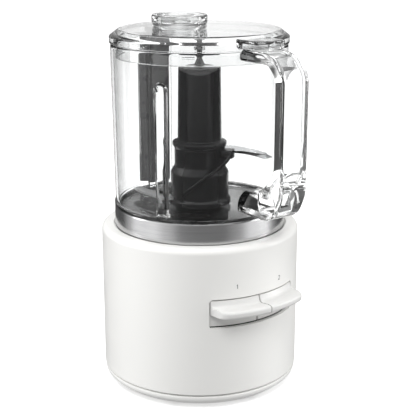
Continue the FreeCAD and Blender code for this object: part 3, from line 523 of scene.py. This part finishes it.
# ---- paddles: outline swept across the front, lip pulled in at the outer corners
def paddle(name, side):
    xs = []
    x_in, x_out = 0.5, PX
    n = 44
    for i in range(n + 1):
        t = i / n
        xs.append(x_in + (x_out - x_in) * t)
    xs = [x_in, x_in + 0.12, x_in + 0.35] + xs[1:-3]
    # dense stations at the outer corner
    for a in (0.0, 0.15, 0.3, 0.45, 0.6, 0.72, 0.82, 0.9, 0.96, 0.99, 1.0):
        xs.append(PX - 5.0 * (1 - math.sin(a * math.pi / 2)))
    xs = sorted(set(round(x, 4) for x in xs))
    secs = []
    for x in xs:
        # corner rounding of the lip in plan
        back = 0.0
        if x > PX - 5.0:
            s = min(1.0, (x - (PX - 5.0)) / 5.0)
            back = 4.6 * (1 - math.sqrt(max(0.0, 1 - s * s)))
        edge_in = 0.0
        if x < x_in + 0.35:
            edge_in = 0.35 * (1 - math.sqrt(max(0.0, 1 - ((x_in + 0.35 - x) / 0.35) ** 2)))
        lip = 89.4 - back - edge_in
        o = rnd_fixed([(70.7, 65.2), (72.5 - edge_in, 65.2, 0.4), (72.6 - edge_in, 74.6, 1.2), (lip - 1.0, 75.7, 1.6), (lip, 77.2, 1.5), (lip + 0.1, 80.9, 2.2), (85.4 - back, 81.3, 10.0),
                 (76.0 - edge_in, 80.0, 5.2), (74.5 - edge_in, 85.25, 0.6), (70.7, 85.25)], n=7)
        secs.append([(side * x, -math.sqrt(r * r - x * x), z) for r, z in o])
    m = min(len(s) for s in secs)
    assert all(len(s) == m for s in secs), [len(s) for s in secs]
    skin = loft(name, secs, True, 38)
    parts = [skin]
    for rx in ((4.0, 7.0), (29.0, 32.0)):
        a, b = sorted((side * rx[0], side * rx[1]))
        out = rnd([(-70.9 if rx[0] < 20 else -63.6, 68.0), (-70.9 if rx[0] < 20 else -63.6, 84.6), (-60.0, 89.0, 3.0), (-52.0, 90.0, 3.4), (-48.0, 86.0, 3.4), (-52.0, 82.0, 3.4), (-62.0, 77.0, 3.0)], n=5)
        parts.append(prism(name + "_rib", out, "x", a, b))
    xb = side * 18.0
    parts.append(prism(name + "_boss", rounded_rect(xb - 2, xb + 2, 66.6, 70.2, 0.5, 3), "y", -68.9, -60.6))
    return join(name, parts)


p1 = put(paddle("paddle_left_shell", -1), "white_paddle", "left_paddle", "paddle_1")
p2 = put(paddle("paddle_right_shell", 1), "white_paddle", "right_paddle", "paddle_2")


# ---- printed numerals above the paddles
def ribbon(name, path, width, az0, z0, r0=75.0, h=0.06):
    """Flat stroke laid on the base's surface; path in mm (across, up)."""
    secs = []
    n = len(path)
    for i, p in enumerate(path):
        a, b = path[max(0, i - 1)], path[min(n - 1, i + 1)]
        dx, dy = b[0] - a[0], b[1] - a[1]
        L = math.hypot(dx, dy)
        nx, ny = -dy / L * width / 2, dx / L * width / 2
        sec = []
        for s, hh in ((1, -0.03), (1, h), (-1, h), (-1, -0.03)):
            u, w = p[0] + nx * s, p[1] + ny * s
            ang = math.radians(az0) + u / r0
            sec.append(((r0 + hh) * math.sin(ang), -(r0 + hh) * math.cos(ang), z0 + w))
        secs.append(sec)
    return loft(name, secs, True, 30)


one = [(-0.62, 1.0), (-0.2, 1.25), (0.05, 1.5), (0.06, 1.2), (0.06, -1.5)]
num1 = join("numeral_1", [ribbon("n1a", [(-0.55, 0.95), (-0.15, 1.2), (0.12, 1.5)], 0.42, -14.2, 94.9), ribbon("n1b", [(0.12, 1.62), (0.12, 0.5), (0.12, -0.5), (0.12, -1.6)], 0.46, -14.2, 94.9)])
two = []
for i in range(13):
    a = math.radians(165 - 215 * i / 12)
    two.append((0.86 * math.cos(a), 0.72 + 0.86 * math.sin(a)))
two += [(0.1, -0.45), (-0.45, -0.95), (-0.86, -1.38)]
num2 = join("numeral_2", [ribbon("n2a", two, 0.42, 15.6, 93.8), ribbon("n2b", [(-1.0, -1.5), (0.0, -1.5), (1.0, -1.5)], 0.42, 15.6, 93.8)])
put(num1, "print_grey", "base")
put(num2, "print_grey", "base")

# ---- bowl: wall with two flutes and the rear channel
FL = [(-60, 64.0, 65.9), (60, 64.0, 65.9)]
CX0, CX1 = -6.5, 11.5


def flute(theta, z, rc, rad, az, z0, z1, r_wall):
    """Radius of the wall where a rounded vertical groove of radius rad, centred at radius rc, bites in."""
    a = math.radians(az) - math.pi / 2          # polar angle of the flute
    d = (theta - a + math.pi) % (2 * math.pi) - math.pi
    if abs(d) > 0.35:
        return r_wall
    rr = rad
    if z > z1:
        k = z - z1
        if k >= rad:
            return r_wall
        rr = math.sqrt(rad * rad - k * k)
    if z < z0:
        k = (z0 - z)
        rr = rad + k * 0.55                      # flares into the floor
    s = rc * math.sin(d)
    if abs(s) >= rr:
        return r_wall
    near = rc * math.cos(d) - math.sqrt(rr * rr - s * s)
    return min(r_wall, near)


wall_out = [(64.7, 139.3), (64.7, 141.5, 0.5), (63.95, 142.6, 0.6)]
zs = [144, 146, 148, 151, 154, 158, 163, 170, 180, 190, 200, 210, 220, 226, 230, 232, 233.5, 235, 236, 237, 237.6, 238, 238.6, 240, 243, 248, 253, 257]
profile, kind = [], []


def wr(z):
    return 63.95 + 1.25 * min(1.0, max(0.0, (z - 142.0) / 100.0))


def add(pts, k):
    for p in pts:
        profile.append(p)
        kind.append(k)


add([(11.0, 135.2), (11.4, 135.2), (30.0, 135.2), (61.5, 135.2), (61.9, 135.3), (62.1, 135.7), (62.1, 139.0), (62.15, 139.25), (62.4, 139.3), (64.2, 139.3), (64.55, 139.4), (64.7, 139.7), (64.7, 141.0), (64.6, 141.4), (64.2, 141.55)], "s")
add([(63.98, 141.7), (63.96, 142.2)], "s")
add([(wr(z), z) for z in [143.0] + zs + [258.6]], "o")
add([(wr(259) - 0.15, 259.2), (wr(259) - 0.5, 259.45), (wr(259) - 0.9, 259.5)], "s")
add([(wr(259) - 1.5, 259.5), (wr(259) - 1.9, 259.35), (wr(259) - 2.15, 259.0)], "s")
add([(wr(z) - 2.2, z) for z in ([258.0] + zs[::-1])], "i")
add([(61.7, 143.0), (61.6, 141.8), (61.2, 140.2), (60.4, 138.8), (59.2, 137.9), (57.8, 137.5), (56.0, 137.4), (40.0, 137.4), (17.0, 137.4), (15.2, 137.6), (14.0, 138.3), (13.4, 139.4), (13.2, 140.6), (13.2, 150.0), (12.95, 162.2), (12.7, 162.8), (12.2, 163.0), (11.5, 163.0), (11.1, 162.8), (11.0, 162.3), (11.0, 150.0)], "f")


def bowl_disp(r, z, th, j):
    k = kind[j]
    x, y = math.cos(th), math.sin(th)
    if k == "o":
        for az, rc_o, rc_i in FL:
            r = flute(th, z, 65.9, 4.0, az, 146.0, 233.0, r)
        if y > 0.8:
            t = x / y                                   # column channel, open to the back
            yy = r * y
            if CX0 - 0.3 < 60.0 * t < CX1 + 0.3 and z > 141.7:
                r = 60.0 / y
        return r, z
    if k in ("i", "f") and r > 50:
        if k == "i":
            for az, rc_o, rc_i in FL:
                r = flute(th, z, 64.0, 5.4, az, 146.0, 233.0, r)
        if y > 0.8:
            t = x / y
            if CX0 - 1.7 < 58.7 * t < CX1 + 1.7:
                r = min(r, 58.7 / y)
        return r, z
    if k == "s" and r > 62.2 and z > 150 and y > 0.8:
        t = x / y
        if CX0 - 0.3 < 60.0 * t < CX1 + 0.3:
            r = (60.0 if r > wr(259) - 1.2 else 58.7 + 0.6) / y
    return r, z


ths = set()
for i in range(240):
    ths.add(round(2 * math.pi * i / 240, 5))
for az in (-60, 60):
    a = (math.radians(az) - math.pi / 2) % (2 * math.pi)
    for i in range(-40, 41):
        ths.add(round((a + i * 0.0033) % (2 * math.pi), 5))
for xx, yy in ((CX0 - 0.3, 60.0), (CX1 + 0.3, 60.0), (CX0 - 1.7, 58.7), (CX1 + 1.7, 58.7)):
    a = math.atan2(yy, xx)
    for e in (-0.002, -0.0004, 0.0004, 0.002):
        ths.add(round(a + e, 6))
ths = sorted(ths)
bowl = lathe("bowl_clear", profile, disp=bowl_disp, thetas=ths, sharp=40)
put(bowl, "clear_bowl", "bowl_assembly", "bowl")

# ---- handle: the frame's own shape, welded and smoothed
src = frame["nodes"]["handle"]
me = src.data.copy()
me.name = "handle_clear"
me.transform(src.matrix_world)
bm = bmesh.new()
bm.from_mesh(me)
bmesh.ops.remove_doubles(bm, verts=bm.verts, dist=2e-6)
bmesh.ops.dissolve_degenerate(bm, edges=bm.edges, dist=1e-6)
bmesh.ops.recalc_face_normals(bm, faces=bm.faces)
bm.to_mesh(me)
bm.free()
me.shade_smooth()
me.set_sharp_from_angle(angle=math.radians(35))
handle = bpy.data.objects.new("handle_clear", me)
COL.objects.link(handle)
put(handle, "clear_handle", "bowl_assembly", "handle")

# ---- interlock column
col = prism("interlock_column_shell", rnd([(CX0, 60.3, 0.5), (CX1, 60.3, 0.5), (CX1, 66.0, 1.0), (CX1 + 4.0, 69.4, 1.2), (CX1 + 4.0, 73.0, 1.6), (2.5, 74.5, 60.0), (CX0 - 4.8, 73.2, 1.6), (CX0 - 4.8, 69.4, 1.2), (CX0, 66.0, 1.0)], n=6), "z", 141.9, 259.3)
col2 = prism("col2", rnd([(CX0, 60.3, 0.5), (CX1, 60.3, 0.5), (CX1, 63.9, 0.4), (CX0, 63.9, 0.4)], n=5), "z", 259.2, 263.6)
col = join("interlock_column_shell", [col, col2])
put(col, "column_grey", "bowl_assembly", "interlock_column")

# ---- lid
lid_prof = rnd([(0, 267.8), (57.4, 267.8, 1.5), (60.2, 265.0, 1.5), (60.2, 250.2, 0.6), (62.0, 250.2, 0.8), (62.2, 261.0, 0.7), (64.0, 260.2, 0.4), (66.0, 260.2, 0.6), (66.0, 265.0, 1.0), (59.4, 270.0, 2.0), (0, 270.0)], n=7)
lid = lathe("lid_clear", lid_prof, 224)
tab = curve_plate("tab", [rnd([(-13.0, -83.5, 3.2), (13.0, -83.5, 3.2), (13.0, -62.0, 0.3), (-13.0, -62.0, 0.3)], n=8)], 262.5, 268.6, 0.7, plane="xy", res=3)
boolean(lid, tab, "UNION")
pocket = prism("pk", rnd([(-10.8, -81.0, 2.0), (10.8, -81.0, 2.0), (10.8, -67.2, 0.6), (-10.8, -67.2, 0.6)], n=5), "z", 258, 266.0)
boolean(lid, pocket)
rear = prism("rr", rnd([(2.5 - 7, 63.0, 0.3), (2.5 + 7, 63.0, 0.3), (2.5 + 7, 73.4, 2.0), (2.5 - 7, 73.4, 2.0)], n=5), "z", 260.3, 265.1)
boolean(lid, rear, "UNION")
boolean(lid, prism("n1", [(CX0 - 2.9, 56.0), (CX1 + 2.9, 56.0), (CX1 + 2.9, 64.6), (CX0 - 2.9, 64.6)], "z", 245.0, 259.85))
boolean(lid, prism("n2", [(CX0 - 0.7, 59.6), (CX1 + 0.7, 59.6), (CX1 + 0.7, 64.6), (CX0 - 0.7, 64.6)], "z", 245.0, 264.3))
hole = lathe("hh", [(0, 260), (8.8, 260), (8.8, 275), (0, 275)], 64, -11.8, 8.4)
boolean(lid, hole)
put(lid, "clear_lid", "lid_assembly", "lid")
boss = lathe("lid_pin_boss", rnd([(2.35, 254.0, 0.3), (4.2, 254.0, 0.8), (4.2, 267.7), (2.35, 267.7)], n=5), 64)
put(boss, "clear_lid", "lid_assembly")
collar = lathe("lid_cap_collar", rnd([(15.2, 270.1), (15.2, 271.8, 0.4), (16.6, 271.8, 0.4), (16.6, 270.1)], n=4), 128, -11.8, 8.4)
put(collar, "clear_lid", "lid_assembly")
lugs = []
for a in (-42, 78, 198):
    secs = []
    for i in range(9):
        aa = a - 3.9 + 7.8 * i / 8
        s = []
        for r, z in rnd([(62.15, 255.2, 0.2), (62.75, 255.2, 0.25), (62.75, 257.0, 0.25), (62.15, 257.0, 0.2)], n=3):
            x, y = polar(r, aa)
            s.append((x, y, z))
        secs.append(s)
    lugs.append(loft("lug", secs))
    # sections for an upright of the bracket-shaped lug; computed, but not lofted or joined
    secs = []
    for i in range(3):
        aa = a - 4.4 + 0.7 * i / 2
        s = []
        for r, z in rnd([(62.15, 255.2, 0.2), (62.75, 255.2, 0.25), (62.75, 260.0, 0.25), (62.15, 260.0, 0.2)], n=3):
            x, y = polar(r, aa)
            s.append((x, y, z))
        secs.append(s)
lugs = join("lid_lugs", lugs)
put(lugs, "clear_lid", "lid_assembly")

# ---- pouring cap
cap_prof = rnd([(0, 270.3), (14.7, 270.3, 0.3), (14.7, 272.2, 0.3), (17.1, 272.2, 0.3), (17.1, 270.3, 0.3), (19.9, 270.3, 0.6), (20.35, 275.0, 0.5), (20.4, 280.0, 1.3), (17.5, 280.0, 1.3), (16.0, 274.2, 2.2), (0, 273.4)], n=7)
cap = lathe("pouring_cap_clear", cap_prof, 160, -11.8, 8.4)
put(cap, "clear_cap", "cap", "pouring_cap")
spout = lathe("pouring_cap_spout", rnd([(6.8, 262.6, 0.3), (8.4, 262.6, 0.5), (8.4, 270.2), (6.8, 270.2)], n=4), 72, -11.8, 8.4)
put(spout, "clear_cap", "cap")

# ---- blade hub
hub_prof = rnd([(14.2, 139.0, 0.3), (23.6, 139.0, 0.5), (23.6, 142.4, 0.9), (22.0, 144.2, 1.2), (22.0, 163.0, 2.0), (19.0, 168.0, 2.0), (19.0, 181.4, 1.0), (20.4, 183.8, 0.8), (20.4, 186.2, 1.0), (16.6, 187.6, 0.9), (15.8, 241.0, 0.4),
                (13.2, 241.0, 0.3), (13.3, 182.5), (0, 182.5), (0, 177.2), (8.9, 177.2), (8.9, 165.5), (14.2, 165.5)], n=7)
hub = lathe("hub_body", hub_prof, 160)


def ramp_pt(t):
    ang = 33.0 - 100.0 * t - 10.0 * t * t
    z = 179.4 - 32.0 * (t ** 0.92) + 3.5 * math.sin(math.pi * t)
    return ang, z, 25.8 - 1.6 * t


secs = []
for i in range(61):
    t = i / 60.0
    a, z, r = ramp_pt(t)
    h = 3.6
    s = []
    for rr, zz in rnd([(18.0, z - h), (r, z - h, 0.9), (r, z, 0.9), (18.0, z)], n=5, support=0.3):
        x, y = polar(rr, a)
        s.append((x, y, zz))
    secs.append(s)
rampo = loft("ramp", secs)
ears = []
for off, z0, z1 in ((0, 174.6, 180.8), (180, 140.2, 147.0)):
    o = [polar(17.5, 52 + off), polar(26.4, 52 + off), polar(27.0, 40 + off), polar(27.0, 28 + off), polar(17.5, 16 + off)]
    ears.append(curve_plate("ear", [rnd([(p[0], p[1], 2.0) for p in o], n=6)], z0, z1, 0.9, plane="xy", res=4))
hub = join("blade_hub_body", [hub, rampo] + ears)
put(hub, "hub_black", "blade_assembly", "blade_hub")
hc = lathe("hub_cap_dome", rnd([(0, 239.4), (13.0, 239.4), (13.0, 241.1), (15.7, 241.1, 0.2), (15.7, 241.8, 0.6), (9.0, 243.6, 12.0), (4.0, 244.1, 2.0), (2.0, 248.5, 3.0), (2.0, 266.0, 0.8), (0, 266.0)], n=9), 96)
put(hc, "hub_black", "blade_assembly", "hub_cap")


# ---- blades with a ground edge
def blade(name, z0, turn):
    cam = [(15.5, 3.0, 0.2), (20.0, 13.0, 4.0), (27.0, 11.0, 8.0), (36.0, 3.2, 30.0), (44.0, -5.2, 40.0), (50.6, -15.4, 30.0), (53.0, -22.3, 1.5), (47.2, -29.4, 3.0), (40.6, -19.4, 14.0), (34.0, -12.8, 20.0), (24.0, -7.6, 6.0), (15.5, -8.0, 0.2)]
    pts = rnd(cam, n=10, support=0.6)
    # inward offset of the cutting (leading) edge
    n = len(pts)
    area = sum(pts[i][0] * pts[(i + 1) % n][1] - pts[(i + 1) % n][0] * pts[i][1] for i in range(n))
    sg = 1 if area > 0 else -1
    ins = []
    for i in range(n):
        a, b = pts[i - 1], pts[(i + 1) % n]
        dx, dy = b[0] - a[0], b[1] - a[1]
        L = math.hypot(dx, dy) or 1
        nx, ny = -dy / L * sg, dx / L * sg
        p = pts[i]
        cutting = p[0] > 26 and (p[1] < -0.72 * (p[0] - 27) + 2.0)
        w = 3.0 if cutting else 0.25
        ins.append((p[0] + nx * w, p[1] + ny * w))
    c, s = math.cos(math.radians(35.5)), math.sin(math.radians(35.5))
    ct, st = math.cos(math.radians(turn)), math.sin(math.radians(turn))

    def tr(p, z):
        x, y = p[0] * c + p[1] * s, -p[0] * s + p[1] * c
        return (x * ct - y * st, x * st + y * ct, z)
    T = 1.4
    secs = [[tr(p, z0) for p in pts], [tr(p, z0 + 0.25) for p in pts], [tr(p, z0 + T) for p in ins]]
    return loft(name, secs, True, 20)


put(blade("upper_blade_ground", 178.6, 0), "blade_steel", "blade_assembly", "upper_blade")
# the lower blade takes the brighter copy of the blade steel, painted light
put(blade("lower_blade_ground", 143.2, 180), "blade_steel", "blade_assembly", "lower_blade", mat="blade_satin_painted_light")

# =============================================================== stage
fl = bpy.data.meshes.new("floor")
fl.from_pydata([(-30, -30, 0), (30, -30, 0), (30, 30, 0), (-30, 30, 0)], [], [(0, 1, 2, 3)])
floor = bpy.data.objects.new("floor", fl)
COL.objects.link(floor)
m, nt, bs, tc = new_mat("floor_white")
nt.links.new(ramp(nt, noise(nt, mapped(nt, tc, (1, 1, 1)), 3, 2), [(0.3, (0.93, 0.93, 0.93)), (0.7, (0.95, 0.95, 0.95))]), bs.inputs["Base Color"])
bs.inputs["Roughness"].default_value = 0.9
bs.inputs["Specular IOR Level"].default_value = 0.1
bs.inputs["Emission Color"].default_value = (1, 1, 1, 1)
bs.inputs["Emission Strength"].default_value = 0.33
floor.data.materials.append(m)
floor.visible_glossy = False
floor.visible_diffuse = False

CAM_AZ = -35.5


def rel_dir(az, el=0.0):
    """Direction at an azimuth from the camera side, positive to the camera's right."""
    a = math.radians(CAM_AZ + az)
    e = math.radians(el)
    return (math.sin(a) * math.cos(e), -math.cos(a) * math.cos(e), math.sin(e))


w = bpy.data.worlds.new("studio")
bpy.context.scene.world = w
w.use_nodes = True
nt = w.node_tree
nt.nodes.clear()
wo = nt.nodes.new("ShaderNodeOutputWorld")
bg = nt.nodes.new("ShaderNodeBackground")
nt.links.new(bg.outputs[0], wo.inputs[0])
tc = nt.nodes.new("ShaderNodeTexCoord")


def mth(op, a, b=None, clamp=False):
    n = nt.nodes.new("ShaderNodeMath")
    n.operation = op
    n.use_clamp = clamp
    for i, v in enumerate((a, b)):
        if v is None:
            continue
        if isinstance(v, (int, float)):
            n.inputs[i].default_value = v
        else:
            nt.links.new(v, n.inputs[i])
    return n.outputs[0]


sep = nt.nodes.new("ShaderNodeSeparateXYZ")
nt.links.new(tc.outputs["Generated"], sep.inputs[0])
# azimuth from the camera side, 0..1 for -180..180 degrees
at = mth("ARCTAN2", sep.outputs["X"], mth("MULTIPLY", sep.outputs["Y"], -1.0))
az = mth("MULTIPLY", mth("SUBTRACT", at, math.radians(CAM_AZ)), 1.0 / (2 * math.pi))
az = mth("FRACT", mth("ADD", az, 1.5))
cr = nt.nodes.new("ShaderNodeValToRGB")
cr.color_ramp.interpolation = "EASE"
STOPS = [(-180, 0.55), (-165, 0.12), (-125, 0.10), (-108, 0.55), (-95, 1.00), (-64, 1.20), (-44, 0.75), (-22, 0.30), (0, 0.25), (30, 0.24), (52, 0.45), (74, 1.15), (100, 1.20), (118, 0.30), (132, 0.08), (160, 0.10), (180, 0.55)]
el = cr.color_ramp.elements
for k, (a, v) in enumerate(STOPS):
    p = (a + 180) / 360.0
    v = v / 1.25
    if k == 0:
        el[0].position, el[0].color = p, (v, v, v, 1)
    elif k == len(STOPS) - 1:
        el[-1].position, el[-1].color = p, (v, v, v, 1)
    else:
        e = el.new(p)
        e.color = (v, v, v, 1)
nt.links.new(az, cr.inputs["Fac"])
band = mth("MULTIPLY", cr.outputs["Color"], 1.36)
up = nt.nodes.new("ShaderNodeMapRange")
up.interpolation_type = "SMOOTHSTEP"
up.inputs["From Min"].default_value = 0.45
up.inputs["From Max"].default_value = 0.90
up.inputs["To Min"].default_value = 0.0
up.inputs["To Max"].default_value = 1.0
nt.links.new(sep.outputs["Z"], up.inputs["Value"])
top = up.outputs["Result"]
L = mth("ADD", mth("MULTIPLY", band, mth("SUBTRACT", 1.0, top)), mth("MULTIPLY", top, 1.0))
# below the horizon the surroundings fade to a dim grey
dn = nt.nodes.new("ShaderNodeMapRange")
dn.interpolation_type = "SMOOTHSTEP"
dn.inputs["From Min"].default_value = -0.35
dn.inputs["From Max"].default_value = -0.75
dn.inputs["To Min"].default_value = 0.0
dn.inputs["To Max"].default_value = 1.0
nt.links.new(sep.outputs["Z"], dn.inputs["Value"])
low = dn.outputs["Result"]
L = mth("ADD", mth("MULTIPLY", L, mth("SUBTRACT", 1.0, low)), mth("MULTIPLY", low, 0.52))
nt.links.new(L, bg.inputs["Strength"])
bg.inputs["Color"].default_value = (1, 1, 1, 1)
lp = nt.nodes.new("ShaderNodeLightPath")
bg2 = nt.nodes.new("ShaderNodeBackground")
bg2.inputs["Color"].default_value = (1, 1, 1, 1)
bg2.inputs["Strength"].default_value = 1.0
mx = nt.nodes.new("ShaderNodeMixShader")
nt.links.new(lp.outputs["Is Camera Ray"], mx.inputs[0])
nt.links.new(bg.outputs[0], mx.inputs[1])
nt.links.new(bg2.outputs[0], mx.inputs[2])
nt.links.new(mx.outputs[0], wo.inputs[0])


def softbox(name, loc, target, sx, sy, power):
    li = bpy.data.lights.new(name, "AREA")
    li.shape = "RECTANGLE"
    li.size, li.size_y = sx, sy
    li.energy = power
    o = bpy.data.objects.new(name, li)
    COL.objects.link(o)
    o.location = loc
    o.rotation_euler = (Vector(target) - Vector(loc)).to_track_quat("-Z", "Y").to_euler()
    return o


d = rel_dir(-88, 0)
softbox("box_left", (d[0] * 0.9, d[1] * 0.9, 0.30), (0, 0, 0.10), 0.25, 0.7, 2.0)
d = rel_dir(92, 0)
softbox("box_right", (d[0] * 0.9, d[1] * 0.9, 0.30), (0, 0, 0.10), 0.25, 0.7, 3.4)
softbox("box_top", (-0.1, 0.1, 1.5), (0, 0, 0), 1.4, 1.4, 6.0)
d = rel_dir(-12, 50)
key = softbox("box_key", (d[0] * 1.3, d[1] * 1.3, d[2] * 1.3), (0, 0, 0.10), 0.5, 0.5, 6.0)
key.visible_glossy = False
d = rel_dir(180, 0)
back = softbox("box_back", (d[0] * 1.5, d[1] * 1.5, 0.75), (0, 0, 0.15), 1.8, 0.8, 1.6)
back.visible_camera = False
for lo in bpy.data.objects:
    if lo.type == "LIGHT":
        lo.visible_camera = False
key.visible_transmission = False

def card(name, az, dist, width, z0, z1):
    """Dark card at the side, seen only through the clear parts, so that their edges read dark."""
    d = rel_dir(az)
    t = (d[1], -d[0])
    pts = [(d[0] * dist + t[0] * width * s, d[1] * dist + t[1] * width * s, z) for s, z in ((-0.5, z0), (0.5, z0), (0.5, z1), (-0.5, z1))]
    me = bpy.data.meshes.new(name)
    me.from_pydata(pts, [], [(0, 1, 2, 3)])
    o = bpy.data.objects.new(name, me)
    COL.objects.link(o)
    o.data.materials.append(M["card"])
    o.visible_camera = False
    o.visible_diffuse = False
    o.visible_glossy = False
    o.visible_shadow = False
    return o


m, nt2, bs, tc2 = new_mat("card_black")
nt2.links.new(ramp(nt2, noise(nt2, mapped(nt2, tc2, (1, 1, 1)), 3, 2), [(0.3, (0.02, 0.02, 0.02)), (0.7, (0.03, 0.03, 0.03))]), bs.inputs["Base Color"])
bs.inputs["Roughness"].default_value = 0.9
M["card"] = m
me = bpy.data.meshes.new("card_front")
q = []
for t, w2 in ((0.13, -0.7), (0.13, 0.7), (1.6, 1.2), (1.6, -1.2)):
    d = rel_dir(0)
    q.append((d[0] * t + d[1] * w2, d[1] * t - d[0] * w2, 0.003))
me.from_pydata(q, [], [(0, 1, 2, 3)])
cf = bpy.data.objects.new("card_front", me)
COL.objects.link(cf)
me.materials.append(M["card"])
cf.visible_camera = False
cf.visible_diffuse = False
cf.visible_glossy = False
cf.visible_shadow = False
card("card_left", -100, 0.30, 0.50, 0.002, 0.258)
card("card_right", 100, 0.30, 0.50, 0.002, 0.258)

cd = bpy.data.cameras.new("camera")
cd.lens = 88.87
cd.sensor_width = 36.0
cd.clip_start, cd.clip_end = 0.01, 100
cam = bpy.data.objects.new("camera", cd)
COL.objects.link(cam)
cam.location = (-0.4346 + AX_X, -0.6201 + AX_Y, 0.3493)
cam.rotation_euler = (math.radians(90 - 15.927), 0, math.radians(-35.5))
sc = bpy.context.scene
sc.camera = cam
sc.view_settings.view_transform = "Standard"
sc.view_settings.look = "None"
sc.cycles.max_bounces = 20
sc.cycles.transmission_bounces = 16
sc.cycles.glossy_bounces = 6
sc.cycles.diffuse_bounces = 4
sc.cycles.transparent_max_bounces = 16
sc.cycles.sample_clamp_indirect = 6.0
sc.cycles.caustics_refractive = True
sc.cycles.caustics_reflective = True
